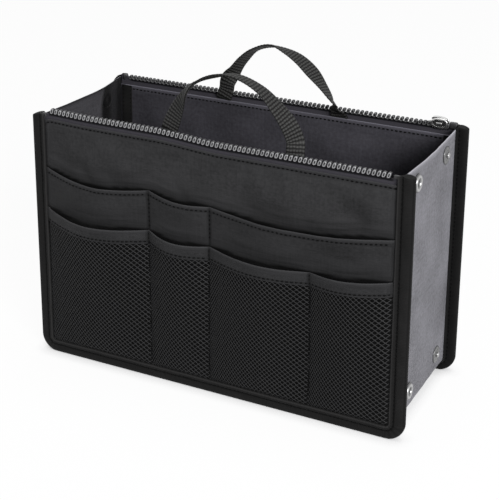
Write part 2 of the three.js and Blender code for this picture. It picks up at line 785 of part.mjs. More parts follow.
for (const side of [-1, 1]) {
  const name = side < 0 ? "left" : "right";
  const halves = {
    front: { start: frontHinge + endGap, end: creaseY - endGap, form: "socket", towards: -1 },
    back: { start: creaseY + endGap, end: backHinge - endGap, form: "stud", towards: 1 },
  };
  for (const [half, { start, end, form, towards }] of Object.entries(halves)) {
    const snapY = creaseY + towards * snapOffset;
    const extent = { depth: end - start, bevelEnabled: false };
    const geometry = new THREE.ExtrudeGeometry(gussetShape(side), extent);
    geometry.rotateX(Math.PI / 2);
    geometry.translate(0, end, 0);
    addPart(`${name}_gusset_${half}`, geometry, greyNylon);
    for (const [level, height] of Object.entries(snapHeights)) {
      addPart(`${name}_${level}_${form}`, snapPiece(form, side, 0, true, snapY, height), paleMetal);
      const cap = snapPiece("cap", side, gussetThickness / Math.cos(lean), false, snapY, height);
      addPart(`${name}_${level}_${form}_cap`, cap, paleMetal);
    }
  }
}

// Base: two halves that fold upward, narrow enough at the crease to pass the folded gussets
const baseTop = flange + gussetThickness;
const baseHalf = halfWidth(flange) - flange;
const baseSet = 18;
const creaseHalf = baseHalf - baseSet - (foldWidth / 2) * Math.sin(foldLimit);

function basePlate(outline) {
  const shape = new THREE.Shape(outline);
  const geometry = new THREE.ExtrudeGeometry(shape, { depth: gussetThickness, bevelEnabled: false });
  geometry.translate(0, 0, flange);
  return geometry;
}

function baseHalfPlate(hinge, towards) {
  const near = hinge + towards * endGap;
  const far = creaseY - towards * endGap;
  const outline = [
    new THREE.Vector2(-(baseHalf - baseSet), near),
    new THREE.Vector2(baseHalf - baseSet, near),
    new THREE.Vector2(creaseHalf, far),
    new THREE.Vector2(-creaseHalf, far),
  ];
  return basePlate(towards > 0 ? outline : outline.reverse());
}
addPart("base_front", baseHalfPlate(frontHinge, 1), greyNylon);
addPart("base_back", baseHalfPlate(backHinge, -1), greyNylon);

// Each soft corner bends from the base up to its gusset and leaves the base halves free to fold
const cornerBand = new THREE.ExtrudeGeometry(
  new THREE.Shape(edgeBand(flange, flange + gussetThickness, cornerRadius)),
  { depth: foldWidth - 2 * endGap, bevelEnabled: false },
);
cornerBand.rotateX(Math.PI / 2);
cornerBand.translate(0, backHinge - endGap, 0);
const cornerGap = 0.3;
const seamHalf = baseHalf - baseSet + cornerGap;
const openingOutline = [
  new THREE.Vector2(-seamHalf, frontHinge),
  new THREE.Vector2(seamHalf, frontHinge),
  new THREE.Vector2(creaseHalf + cornerGap, creaseY),
  new THREE.Vector2(seamHalf, backHinge),
  new THREE.Vector2(-seamHalf, backHinge),
  new THREE.Vector2(-creaseHalf - cornerGap, creaseY),
];
const openingShape = new THREE.Shape(openingOutline);
const opening = new THREE.ExtrudeGeometry(openingShape, { depth: cornerRadius, bevelEnabled: false });
const corners = toSolid(cornerBand).subtract(toSolid(opening));
for (const side of [-1, 1]) {
  const reach = side * panelWidth;
  const half = box(Math.min(0, reach), Math.max(0, reach), frontFace, backFace, 0, panelHeight);
  const corner = toGeometry(corners.intersect(toSolid(half)));
  addPart(`base_corner_${side < 0 ? "left" : "right"}`, corner, greyNylon);
}

export default group;
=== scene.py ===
import math
from functools import partial

import bmesh
import bpy
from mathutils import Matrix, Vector, noise


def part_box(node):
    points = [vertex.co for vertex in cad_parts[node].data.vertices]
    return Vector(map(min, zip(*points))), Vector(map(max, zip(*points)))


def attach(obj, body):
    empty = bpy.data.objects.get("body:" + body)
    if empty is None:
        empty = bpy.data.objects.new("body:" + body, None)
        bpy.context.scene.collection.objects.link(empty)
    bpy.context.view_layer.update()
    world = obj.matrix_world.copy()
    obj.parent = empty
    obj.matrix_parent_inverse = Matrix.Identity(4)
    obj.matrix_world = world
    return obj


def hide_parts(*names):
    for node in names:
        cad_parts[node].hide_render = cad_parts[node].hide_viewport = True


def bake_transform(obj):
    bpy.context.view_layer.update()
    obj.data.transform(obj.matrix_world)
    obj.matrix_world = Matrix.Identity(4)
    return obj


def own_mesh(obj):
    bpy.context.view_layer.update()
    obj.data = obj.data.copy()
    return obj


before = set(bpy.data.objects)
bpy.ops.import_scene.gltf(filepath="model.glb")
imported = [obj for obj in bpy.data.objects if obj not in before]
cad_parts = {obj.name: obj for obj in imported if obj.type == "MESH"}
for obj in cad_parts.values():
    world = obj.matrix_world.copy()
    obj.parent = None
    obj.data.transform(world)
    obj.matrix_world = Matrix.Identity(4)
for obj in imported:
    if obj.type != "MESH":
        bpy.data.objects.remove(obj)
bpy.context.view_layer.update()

# The camera stands to the right of the front panel and a little above it, with a long lens about
# 95 centimetres away, and a small shift of the lens sets the insert in the frame.
front_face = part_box("front_binding")[0].y * 1000
back_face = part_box("back_binding")[1].y * 1000
lens_place = Vector((386.3, front_face - 722.8, 486.2)) / 1000
lens_aim = Vector((-19.3, front_face + 60, 91.3)) / 1000
lens = bpy.data.cameras.new("picture_lens")
lens.lens = 91.87
lens.sensor_width = 36
lens.shift_x = 0.0498
lens.shift_y = -0.0084
picture_camera = bpy.data.objects.new("picture_camera", lens)
picture_camera.location = lens_place
picture_camera.rotation_mode = "QUATERNION"
picture_camera.rotation_quaternion = (lens_aim - lens_place).to_track_quat("-Z", "Y")
bpy.context.scene.collection.objects.link(picture_camera)
bpy.context.scene.camera = picture_camera


# The insert stands on a plain white studio floor under soft area lamps: a key at the front right, a weak
# fill at the front left and one overhead. The floor reads white and keeps a narrow contact shadow.
class Wire:
    """A socket in a node tree. Arithmetic with wires and numbers adds Math nodes."""

    def __init__(self, tree, socket=None):
        self.tree = tree
        self.socket = socket

    def node(self, kind, settings=None, sockets=None, output=0):
        made = self.tree.nodes.new(kind)
        for name, value in (settings or {}).items():
            setattr(made, name, value)
        for name, value in (sockets or {}).items():
            feed(self.tree, made.inputs[name], value)
        return Wire(self.tree, made.outputs[output] if made.outputs else None)

    def __add__(self, other):
        return self.node("ShaderNodeMath", {"operation": "ADD"}, {0: self, 1: other})

    def __sub__(self, other):
        return self.node("ShaderNodeMath", {"operation": "SUBTRACT"}, {0: self, 1: other})

    def __rsub__(self, other):
        return self.node("ShaderNodeMath", {"operation": "SUBTRACT"}, {0: other, 1: self})

    def __mul__(self, other):
        return self.node("ShaderNodeMath", {"operation": "MULTIPLY"}, {0: self, 1: other})

    def __pow__(self, other):
        return self.node("ShaderNodeMath", {"operation": "POWER"}, {0: self, 1: other})

    def __abs__(self):
        return self.node("ShaderNodeMath", {"operation": "ABSOLUTE"}, {0: self})

    __radd__ = __add__
    __rmul__ = __mul__


def feed(tree, socket, value):
    """Links a wire to a socket, or sets the socket to a plain value."""
    if isinstance(value, Wire):
        tree.links.new(value.socket, socket)
    else:
        socket.default_value = value


def seen_directly(tree):
    """One for what the camera sees, also in metal or through holes, and nothing for plain bounces."""
    camera_ray = tree.node("ShaderNodeLightPath", output="Is Camera Ray")
    glossy_ray = tree.node("ShaderNodeLightPath", output="Is Glossy Ray")
    through_ray = tree.node("ShaderNodeLightPath", output="Is Transmission Ray")
    total = camera_ray + glossy_ray + through_ray
    return tree.node("ShaderNodeClamp", None, {"Value": total})


white = (1.0, 1.0, 1.0, 1.0)
floor_reach = 4.0
floor_white_share = 0.94
contact_reach = 0.011
floor_mesh = bpy.data.meshes.new("studio_floor")
floor_corners = [(-floor_reach, -floor_reach, 0), (floor_reach, -floor_reach, 0)]
floor_corners += [(floor_reach, floor_reach, 0), (-floor_reach, floor_reach, 0)]
floor_mesh.from_pydata(floor_corners, [], [(0, 1, 2, 3)])
studio_floor = bpy.data.objects.new("studio_floor", floor_mesh)
bpy.context.scene.collection.objects.link(studio_floor)
floor_finish = bpy.data.materials.new("studio_floor")
floor_finish.use_nodes = True
floor_tree = Wire(floor_finish.node_tree)
floor_finish.node_tree.nodes.clear()
floor_matt = floor_tree.node("ShaderNodeBsdfDiffuse", None, {"Color": (0.45, 0.45, 0.46, 1)})
floor_pale = floor_tree.node("ShaderNodeBsdfDiffuse", None, {"Color": (0.95, 0.95, 0.96, 1)})
floor_glow = floor_tree.node("ShaderNodeEmission", None, {"Color": white, "Strength": 1.0})
contact_values = {"Distance": contact_reach}
contact = floor_tree.node("ShaderNodeAmbientOcclusion", {"samples": 8}, contact_values, output="AO")
floor_seen_values = {0: contact * floor_white_share, 1: floor_pale, 2: floor_glow}
floor_seen = floor_tree.node("ShaderNodeMixShader", None, floor_seen_values)
floor_choice = {0: seen_directly(floor_tree), 1: floor_matt, 2: floor_seen}
floor_look = floor_tree.node("ShaderNodeMixShader", None, floor_choice)
floor_tree.node("ShaderNodeOutputMaterial", None, {"Surface": floor_look})
floor_mesh.materials.append(floor_finish)

room_level = 0.14
room = bpy.data.worlds.new("studio_room")
room.use_nodes = True
room_tree = Wire(room.node_tree)
room.node_tree.nodes.clear()
room_light = room_tree.node("ShaderNodeBackground", None, {"Color": white, "Strength": room_level})
room_white = room_tree.node("ShaderNodeBackground", None, {"Color": white, "Strength": 1.0})
room_choice = {0: seen_directly(room_tree), 1: room_light, 2: room_white}
room_look = room_tree.node("ShaderNodeMixShader", None, room_choice)
room_tree.node("ShaderNodeOutputWorld", None, {"Surface": room_look})
bpy.context.scene.world = room


def studio_lamp(name, place, size, watts):
    """A square soft lamp that points at the middle of the insert."""
    lamp = bpy.data.lights.new(name, "AREA")
    lamp.shape = "SQUARE"
    lamp.size = size
    lamp.energy = watts
    made = bpy.data.objects.new(name, lamp)
    made.location = place
    made.rotation_mode = "QUATERNION"
    made.rotation_quaternion = (Vector((0, 0, 0.1)) - Vector(place)).to_track_quat("-Z", "Y")
    bpy.context.scene.collection.objects.link(made)


studio_lamp("key_lamp", (1.9, -1.7, 1.3), 1.1, 88)
studio_lamp("fill_lamp", (-1.6, -1.7, 1.0), 1.4, 5)
studio_lamp("top_lamp", (0.0, 0.2, 2.2), 1.2, 18)
bpy.context.scene.view_settings.view_transform = "Standard"

# The outer cloths are the black nylon faces of the two panels. Each has a hem turned in at the top and
# sewn to the zip tape there, and its other three edges are caught in the binding.
panel_half = 150.0
side_taper = 4.0
panel_height = 195.5
corner_radius = 13.0
cloth_inset = 1.0
cloth_top = 188.5
cloth_near = 1.0
cloth_far = 1.95
hem_height = 9.0
hem_stitch_drop = 2.4
stitch_pitch = 3.3
hem_stitch_inset = 11.5
thread_turn = 6.3
stitch_sink = 0.15
binding_width = 10.5
# Turns of the last rows of a sheet into the fold at its top edge
fold_angles = [step * math.pi / 8.4 for step in (1, 2, 3, 4)]


def new_finish(name):
    """A finish and a wire into its tree."""
    made = bpy.data.materials.new(name)
    made.use_nodes = True
    return made, Wire(made.node_tree)


def set_shader(tree, colour, rough, relief, others=None):
    """Sets a finish's shader. The relief is its strength, its distance in metres and its height."""
    bump = tree.node("ShaderNodeBump", None, dict(zip(("Strength", "Distance", "Height"), relief)))
    values = {"Base Color": colour, "Roughness": rough, "Normal": bump, **(others or {})}
    shader = tree.tree.nodes["Principled BSDF"]
    for name, value in values.items():
        feed(tree.tree, shader.inputs[name], value)


def tinted(colour, share):
    """A share of a colour, for a socket."""
    return tuple(share * c for c in colour) + (1.0,)


def sine(wire):
    return wire.node("ShaderNodeMath", {"operation": "SINE"}, {0: wire})


def mixed(share, first, second):
    """The first colour where share is 0 and the second where it is 1."""
    return share.node("ShaderNodeMix", {"data_type": "RGBA"}, {0: share, 6: first, 7: second}, output=2)


def grain(tree, place, scale, detail):
    """Cloudy unevenness from 0 to 1."""
    sockets = {"Vector": place, "Scale": scale, "Detail": detail, "Roughness": 0.55}
    return tree.node("ShaderNodeTexNoise", {"noise_dimensions": "3D"}, sockets)


def cloth_place(tree):
    """Where a point lies on its cloth in metres, and its painted light there: a painted highlight above
    nothing and painted shade below nothing.
    """
    place = tree.node("ShaderNodeAttribute", {"attribute_name": "cloth"}, output="Vector")
    parts = [tree.node("ShaderNodeSeparateXYZ", None, {0: place}, output=k) for k in range(3)]
    return place, parts


def stretched(place, across, along):
    scale = (across, along, 1.0)
    return place.node("ShaderNodeVectorMath", {"operation": "MULTIPLY"}, {0: place, 1: scale})


def woven_finish(name, colour, thread, rough, gloss, fold_light):
    """Plain-woven nylon: threads over and under, uneven yarns, a mottled dye, painted highlights along folds
    and painted shade.
    """
    made, tree = new_finish(name)
    place, (across, along, painted_light) = cloth_place(tree)
    turn = math.pi / thread
    over = sine(across * turn) * sine(along * turn)
    warp = grain(tree, stretched(place, 900, 45), 1.0, 2.0)
    weft = grain(tree, stretched(place, 45, 900), 1.0, 2.0)
    mottle = grain(tree, place, 420.0, 2.0)
    cloud = grain(tree, place, 24.0, 1.0)
    uneven = warp * 0.4 + weft * 0.35 + mottle * 0.9 + cloud * 1.1 + over * 0.06
    plain = mixed(uneven - 0.9, tinted(colour, 0.5), tinted(colour, 1.5))
    # Painted highlight where the mark is above nothing, and painted shade at 0.06 of the colour where it is
    # below
    shade = mixed(painted_light * -1.0, mixed(painted_light, plain, tinted(colour, fold_light)), tinted(colour, 0.06))
    relief = over * 0.6 + warp * 0.9 + weft * 0.7 + mottle * 0.8
    others = {"Specular IOR Level": gloss, "Sheen Weight": 0.04, "Sheen Roughness": 0.4}
    set_shader(tree, shade, rough - 0.1 + cloud * 0.2, (0.6, 0.00014, relief), others)
    return made


def thread_finish(name, colour):
    """Twisted sewing thread with a slight gloss."""
    made, tree = new_finish(name)
    place, marks = cloth_place(tree)
    twist = sine(marks[1] * 9000 + marks[0] * thread_turn)
    cloud = grain(tree, place, 300.0, 2.0)
    shade = mixed(twist * 0.25 + cloud * 0.5 + 0.2, tinted(colour, 0.6), tinted(colour, 1.6))
    set_shader(tree, shade, 0.5 + cloud * 0.15, (0.5, 0.0001, twist), {"Specular IOR Level": 0.06})
    return made


def spread(low, high, steps):
    """Evenly spaced values from low to high."""
    return [low + (high - low) * k / steps for k in range(steps + 1)]


def clamped(value):
    return min(max(value, 0.0), 1.0)


def smooth(low, high, value):
    share = clamped((value - low) / (high - low))
    return share * share * (3 - 2 * share)


def bell(offset, width):
    """One at no offset, falling off smoothly over the width both ways."""
    return math.exp(-(offset / width) ** 2)


def crumple(across, along, size, seed):
    """Slow rise and fall of slack cloth, from -1 to 1, in patches of about that size."""
    return noise.noise(Vector((across / size, along / size, seed)))


def half_width(height):
    return panel_half - side_taper * height / panel_height


def sheet_half(height, inset):
    """Half the width of a sheet that ends inside the panel's outline, with its rounded lower corners."""
    if height >= corner_radius:
        return half_width(height) - inset
    radius = corner_radius - inset
    drop = corner_radius - height
    return half_width(corner_radius) - corner_radius + math.sqrt(max(radius * radius - drop * drop, 0.0))


def layer(panel, depth):
    """The place in Y of a depth under a panel's outer face."""
    return front_face + depth if panel == "front" else back_face - depth


def zip_lift(panel, x):
    """How far the zip edge of the front panel stands up towards its left end."""
    if panel == "back":
        return 0.0
    return (2.9 * smooth(8, -45, x) + 0.9 * smooth(-95, -132, x)) * (1 - 0.6 * smooth(-131, -139, x))


def lifted(panel, x, height):
    """A height on a panel with the lift of its zip edge, which begins well below the hem."""
    return height + zip_lift(panel, x) * smooth(158, 184, height)


def sewn_piece(name, form, finish, body, stands_for=(), crisp=50, lined=None):
    """A piece from points in millimetres, faces and marks. It rides on its body and stands for its solids.

    A second finish can line the inner side of a closed cloth.
    """
    points, faces, marks = form
    mesh = bpy.data.meshes.new(name)
    mesh.from_pydata([(x / 1000, y / 1000, z / 1000) for x, y, z in points], [], faces)
    skin = bmesh.new()
    skin.from_mesh(mesh)
    bmesh.ops.recalc_face_normals(skin, faces=skin.faces)
    skin.to_mesh(mesh)
    skin.free()
    mesh.shade_smooth()
    mesh.set_sharp_from_angle(angle=math.radians(crisp))
    cloth = mesh.attributes.new("cloth", "FLOAT_VECTOR", "POINT")
    cloth.data.foreach_set("vector", [v for a, b, painted_light in marks for v in (a / 1000, b / 1000, painted_light)])
    mesh.materials.append(finish)
    if lined:
        mesh.materials.append(lined)
        inner = [int(min(face) >= len(points) / 2) for face in faces]
        mesh.polygons.foreach_set("material_index", inner)
    made = bpy.data.objects.new(name, mesh)
    bpy.context.scene.collection.objects.link(made)
    if body:
        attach(made, body)
    if stands_for:
        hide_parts(*stands_for)
    return made


def cloth_grid(rows, columns, at):
    """A closed cloth: at gives two points for a row and column, and one mark for both or one for each."""
    grid = [[at(j, i) for i in range(columns)] for j in range(rows)]
    points = [cell[side] for side in (0, 1) for row in grid for cell in row]
    marks = [cell[mark] for mark in (2, -1) for row in grid for cell in row]
    other = rows * columns
    faces = []
    for a in (j * columns + i for j in range(rows - 1) for i in range(columns - 1)):
        right, up, across = a + 1, a + columns, a + columns + 1
        faces.append((a, right, across, up))
        faces.append((other + a, other + up, other + across, other + right))
    for a in (j * columns + i for j in range(rows - 1) for i in (0, columns - 1)):
        faces.append((a, a + columns, other + a + columns, other + a))
    for a in (j * columns + i for i in range(columns - 1) for j in (0, rows - 1)):
        faces.append((a, other + a, other + a + 1, a + 1))
    return points, faces, marks


def folded_rows(bottom, top, rows, thickness):
    """Heights of the rows of a sheet and how far each has turned into the fold at its top edge."""
    radius = thickness / 2
    found = [(height, 0.0) for height in spread(bottom, top - radius, rows)]
    found += [(top - radius + radius * math.sin(angle), 1 - math.cos(angle)) for angle in fold_angles]
    return found


def panel_sheet(panel, top, near, far, rows, columns, shade):
    """A closed sheet lying on a panel, with its near and far depth and its shade given over X and Z."""
    levels = folded_rows(cloth_inset, top, rows, far(0, top) - near(0, top))

    def at(j, i):
        height, fold = levels[j]
        x = sheet_half(height, cloth_inset) * (2 * i / columns - 1)
        z = lifted(panel, x, height)
        sides = near(x, height), far(x, height)
        first, second = (side * (1 - fold) + sum(sides) / 2 * fold for side in sides)
        # Painted highlight along the top fold, less the painted shade given by shade
        painted_light = math.exp(-(top - height) / 0.7) - shade(x, height)
        return (x, layer(panel, first), z), (x, layer(panel, second), z), (x, height, painted_light)

    return cloth_grid(len(levels), columns + 1, at)


def stacked_rings(rings):
    """Points and faces of a closed form from rings of points, one above another."""
    size = len(rings[0])
    points = [point for ring in rings for point in ring]
    faces = [tuple(range(size)), tuple(range((len(rings) - 1) * size, len(rings) * size))]
    for j in range(len(rings) - 1):
        for k in range(size):
            a = j * size + k
            b = j * size + (k + 1) % size
            faces.append((a, b, b + size, a + size))
    return points, faces


def gathered(parts):
    """Several forms of points and faces put into one."""
    points, faces = [], []
    for part_points, part_faces in parts:
        faces += [tuple(index + len(points) for index in face) for face in part_faces]
        points += part_points
    return points, faces


def along_line(line, pitch):
    """Points spaced evenly along a line of points, with the direction at each."""
    found = []
    travelled = 0.0
    due = pitch / 2
    for start, end in zip(line, line[1:]):
        step = (end - start).length
        while step > 0 and due <= travelled + step:
            share = (due - travelled) / step
            found.append((start.lerp(end, share), (end - start).normalized()))
            due += pitch
        travelled += step
    return found


stitch_length = 2.1
stitch_width = 1.05
stitch_sides = 6
stitch_rings = [(-0.5, 0.3, -0.3), (-0.38, 0.8, -0.1), (-0.15, 1.0, 0.1), (0.15, 1.0, 0.1)]
stitch_rings += [(0.38, 0.8, -0.1), (0.5, 0.3, -0.3)]


def sewn_line(name, lines, facing, body):
    """Rows of short rounded stitches that dip into the cloth at both ends, set a little unevenly."""
    stitches, cloth = [], []
    spots = [spot for line in lines for spot in along_line([Vector(p) for p in line], stitch_pitch)]
    for centre, ahead in spots:
        across = ahead.cross(facing).normalized()
        uneven = crumple(centre.x + centre.z, centre.y, 2.3, 1.7)
        centre = centre + across * (0.3 * uneven)
        ahead = (ahead + across * (0.12 * crumple(centre.x, centre.z, 3.1, 4.4))).normalized()
        length = stitch_length * (1 + 0.3 * uneven)
        rings = []
        for share, swelling, rise in stitch_rings:
            middle = centre + ahead * (share * length) + facing * (rise * stitch_width)
            ring = []
            for k in range(stitch_sides):
                angle = 2 * math.pi * k / stitch_sides
                offset = across * math.cos(angle) + facing * math.sin(angle)
                ring.append(middle + offset * (swelling * stitch_width / 2))
                cloth.append((1000 * angle / thread_turn, centre.x + centre.z + share * length, 0.0))
            rings.append(ring)
        stitches.append(stacked_rings(rings))
    sewn_piece(name, (*gathered(stitches), cloth), black_thread, body)


def sheet_stitches(panel, face, top, drop, inset, stand):
    """A line for stitches below the top edge of a sheet on a panel."""
    reach = sheet_half(top, inset)
    places = [(x, top - drop) for x in spread(-reach, reach, 120)]
    return [(x, layer(panel, face(x, z) + stand), lifted(panel, x, z)) for x, z in places]


black_nylon = woven_finish("black_nylon", (0.03, 0.03, 0.0313), 0.00034, 0.62, 0.08, 1.5)
black_thread = thread_finish("black_thread", (0.0025, 0.0025, 0.0026))
panels = ("front", "back")
outwards = {"front": Vector((0, -1, 0)), "back": Vector((0, 1, 0))}
# Edges and upright seams of the pocket strips, and the height of the upper mouth at its seams
strip_inset = 10.9
left_divider = -49.0
middle_divider = 0.0
right_divider = 79.0
full_span = 90.0
upper_bulge = 10.5
upper_mouth = [154.6, 152.0, 148.4, 150.6]
upper_sags = [3.2, 0.4, 2.9]


def strip_edge(height):
    radius = corner_radius - strip_inset
    drop = max(strip_inset + radius - height, 0.0)
    return half_width(height) - strip_inset - radius + math.sqrt(max(radius * radius - drop * drop, 0.0))


def upper_seams(height):
    return [-strip_edge(height), left_divider, middle_divider, strip_edge(height)]


def mouth_line(x, seams, heights, sags):
    """Height of a pocket mouth: straight from seam to seam, less the sag of each pocket."""
    k = sum(x > seam for seam in seams[1:-1])
    low, high = seams[k], seams[k + 1]
    share = clamped((x - low) / (high - low))
    level = heights[k] + (heights[k + 1] - heights[k]) * share
    return level - sags[k] * math.sin(math.pi * share)


def swell(x, seams):
    """Rise of a pocket from one seam to its middle and back, smaller in a narrow pocket."""
    for low, high in zip(seams, seams[1:]):
        if low <= x <= high:
            width_share = min((high - low) / full_span, 1)
            return math.sqrt(width_share) * math.sin(math.pi * (x - low) / (high - low))
    return 0.0


def upper_edge(x):
    return mouth_line(x, upper_seams(upper_mouth[0]), upper_mouth, upper_sags)


def upper_stand(x):
    """How far the upper mouth stands off the cloth behind it."""
    return upper_bulge * swell(x, upper_seams(upper_mouth[0]))


def mouth_shade(x, height, edge, stand):
    """Shade in the slit behind a mouth. Light reaches down into it half as far as the mouth stands off."""
    ahead = x + 0.5 * stand(x)
    line = edge(ahead) - 0.5 * stand(ahead) + 0.8 + 1.6 * smooth(0, 5, stand(ahead))
    return max(smooth(line + 1.3, line, height), 0.3 * math.exp(-max(height - line, 0.0) / 5.0))


def beside_binding(x, height):
    """Shade of a cloth close to the free edge of the binding."""
    return 0.7 * math.exp(-max(sheet_half(height, binding_width) - abs(x), 0.0) / 0.9)


def front_shade(x, height):
    """Shade of the front cloth inside the pocket mouth, along the hem stitches and beside the binding."""
    sewn = 0.4 * bell(height - cloth_top + hem_stitch_drop, 0.9)
    return max(mouth_shade(x, height, upper_edge, upper_stand), sewn, beside_binding(x, height))


# Dents above the pocket mouths: place across and up, half sizes and depth
mouth_dents = [(-103, 156, 5, 11, 1.7), (-80, 153, 7, 9, 1.3), (-22, 152, 6, 12, 1.2)]
mouth_dents += [(34, 152, 9, 12, 1.5), (72, 150, 7, 10, 1.1), (112, 158, 9, 13, 1.6)]


def dents(x, height):
    """Depth of the dents at a place, each slanting a little."""
    total = 0.0
    for middle, level, half_across, half_up, depth in mouth_dents:
        across = (x - middle + 0.4 * (height - level)) / half_across
        up = (height - level) / half_up
        total += depth * math.exp(-across * across - up * up)
    return total


def outer_cloth_face(panel, x, height):
    """Depth of the outer cloth: a hem ridge, a dip along its stitches, and slack that puckers below them."""
    free = smooth(136, 160, height) if panel == "front" else smooth(14, 60, height)
    free *= smooth(cloth_top - 2, cloth_top - 18, height)
    free *= smooth(0, 26, sheet_half(height, binding_width) - abs(x))
    slack = 1.2 + 2.4 * crumple(x, 0.45 * height, 40, 3.7) + 1.2 * crumple(x + 0.5 * height, height, 19, 8.1)
    below = cloth_top - hem_stitch_drop - height
    pucker = 0.6 * crumple(x, 0, 6.5, 2.6) * smooth(0, 3, below) * smooth(26, 6, below)
    hem = 0.3 * smooth(cloth_top - hem_height - 0.8, cloth_top - hem_height + 0.8, height)
    groove = 0.7 * bell(height - cloth_top + hem_stitch_drop, 1.2)
    if panel == "front":
        slack -= dents(x, height)
    return cloth_near - free * slack - pucker - hem + groove


def cloth_back(x, height):
    return cloth_far


for panel in panels:
    cloth_front = partial(outer_cloth_face, panel)
    shade = front_shade if panel == "front" else beside_binding
    cloth_form = panel_sheet(panel, cloth_top, cloth_front, cloth_back, 120, 150, shade)
    body = f"{panel}_panel"
    cloth_sheet = sewn_piece(
        f"{panel}_cloth", cloth_form, black_nylon, body, [f"{panel}_outer_cloth"]
    )
    line = sheet_stitches(panel, cloth_front, cloth_top, hem_stitch_drop, hem_stitch_inset, -stitch_sink)
    sewn_line(f"{panel}_hem_stitches", [line], outwards[panel], body)

# The stiffeners are plain white plastic sheets that keep the panels upright. They lie loose between the
# outer cloth and the lining, so the solids stay and only get the finish of milky pressed sheet.
board_finish, board_tree = new_finish("stiff_sheet")
board_place = board_tree.node("ShaderNodeTexCoord", output="Object")
board_cloud = grain(board_tree, board_place, 60.0, 3.0)
board_grit = grain(board_tree, board_place, 900.0, 2.0)
board_colour = mixed(board_cloud * 0.6 + board_grit * 0.4, (0.5, 0.5, 0.47, 1), (0.74, 0.74, 0.7, 1))
set_shader(board_tree, board_colour, 0.45 + board_cloud * 0.2, (0.3, 0.0002, board_grit))
for panel in panels:
    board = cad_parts[f"{panel}_stiffener"].data
    board.materials.clear()
    board.materials.append(board_finish)

# The linings are smoother charcoal nylon on the inner faces of the panels. Their top edge is folded under
# and topstitched just below the zip tape, and the other edges go into the gusset seam.
lining_top = 188.0
lining_near = 4.25
lining_far = 5.1
lining_hem = 7.0
lining_stitch_drop = 3.0
lining_stitch_inset = 17.0
lining_nylon = woven_finish("lining_nylon", (0.0445, 0.043, 0.051), 0.0003, 0.55, 0.1, 3.2)


def lining_face(panel, x, height):
    """Depth of the lining's inner face, which stands off a little where it is slack."""
    free = smooth(20, 60, height) * smooth(lining_top - 4, lining_top - 22, height)
    free *= smooth(17, 45, sheet_half(height, 1) - abs(x))
    seed = 5.3 if panel == "front" else 12.9
    slack = 0.8 + 1.3 * crumple(x, 0.5 * height, 50, seed) + 0.4 * crumple(x + height, height, 21, seed + 2)
    hem = 0.2 * smooth(lining_top - lining_hem - 0.6, lining_top - lining_hem + 0.6, height)
    groove = 0.45 * bell(height - lining_top + lining_stitch_drop, 1.0)
    return lining_far + free * slack + hem - groove


def lining_back(x, height):
    return lining_near


inwards = {"front": Vector((0, 1, 0)), "back": Vector((0, -1, 0))}
for panel in panels:
    lining_front = partial(lining_face, panel)
    lining_form = panel_sheet(panel, lining_top, lining_back, lining_front, 80, 130, beside_binding)
    body = f"{panel}_panel"
    lining_sheet = sewn_piece(
        f"{panel}_lining_cloth", lining_form, lining_nylon, body, [f"{panel}_lining"]
    )
    line = sheet_stitches(
        panel, lining_front, lining_top, lining_stitch_drop, lining_stitch_inset, stitch_sink
    )
    sewn_line(f"{panel}_lining_stitches", [line], inwards[panel], body)

# The gusset seams are the turned-in edges of the grey side and base cloth. They run round three sides of
# each panel, flat against the lining, and are held by the binding that wraps over them.
seam_top = 188.5
seam_profile = [(1.0, 5.15), (1.0, 6.25), (3.5, 6.3), (6.3, 6.28), (6.9, 6.0), (6.9, 5.3), (6.4, 5.15)]
grey_nylon = woven_finish("grey_nylon", (0.192, 0.19, 0.208), 0.0004, 0.68, 0.12, 2.2)


def edge_stations(top, side_steps, corner_steps, base_steps):
    """Stops along the sides and bottom of a panel, each with a centre and the way out from it."""
    corner_half = half_width(corner_radius) - corner_radius
    right = []
    for i in range(corner_steps + 1):
        angle = -math.pi / 2 * (1 - i / corner_steps)
        right.append((corner_half, corner_radius, math.cos(angle), math.sin(angle)))
    for i in range(1, side_steps + 1):
        height = corner_radius + (top - corner_radius) * i / side_steps
        right.append((half_width(height) - corner_radius, height, 1.0, 0.0))
    left = [(-x, z, -out, rise) for x, z, out, rise in reversed(right)]
    base = [(corner_half * (2 * i / base_steps - 1), corner_radius, 0.0, -1.0) for i in range(1, base_steps)]
    return left + base + right


def edge_point(panel, station, inset, depth, drop=0.0):
    """A place on the edge of a panel, pressed flat where the edge stands on the floor."""
    x, z, out, rise = station
    reach = corner_radius - inset
    return (x + out * reach, layer(panel, depth), max(z + rise * reach - drop, 0.0))


def edge_sweep(panel, stations, profile_at, light_at):
    """A closed profile of insets, depths and drops carried round the edge of a panel."""
    rings, cloth = [], []
    travelled = 0.0
    before = None
    for k, station in enumerate(stations):
        profile = profile_at(k, travelled)
        rings.append([edge_point(panel, station, *place) for place in profile])
        here = Vector(rings[-1][0])
        travelled += (here - before).length if before else 0.0
        before = here
        length = 0.0
        for (inset, depth, drop), after in zip(profile, profile[1:] + profile[:1]):
            cloth.append((length, travelled, light_at(inset, depth)))
            length += math.hypot(after[0] - inset, after[1] - depth)
    return *stacked_rings(rings), cloth


def plain_seam(k, travelled):
    return [(inset, depth, 0.0) for inset, depth in seam_profile]


def evenly_lit(inset, depth):
    return 0.0


for panel in panels:
    seam = edge_sweep(panel, edge_stations(seam_top, 40, 14, 60), plain_seam, evenly_lit)
    sewn_piece(f"{panel}_seam", seam, grey_nylon, f"{panel}_panel", [f"{panel}_gusset_seam"])

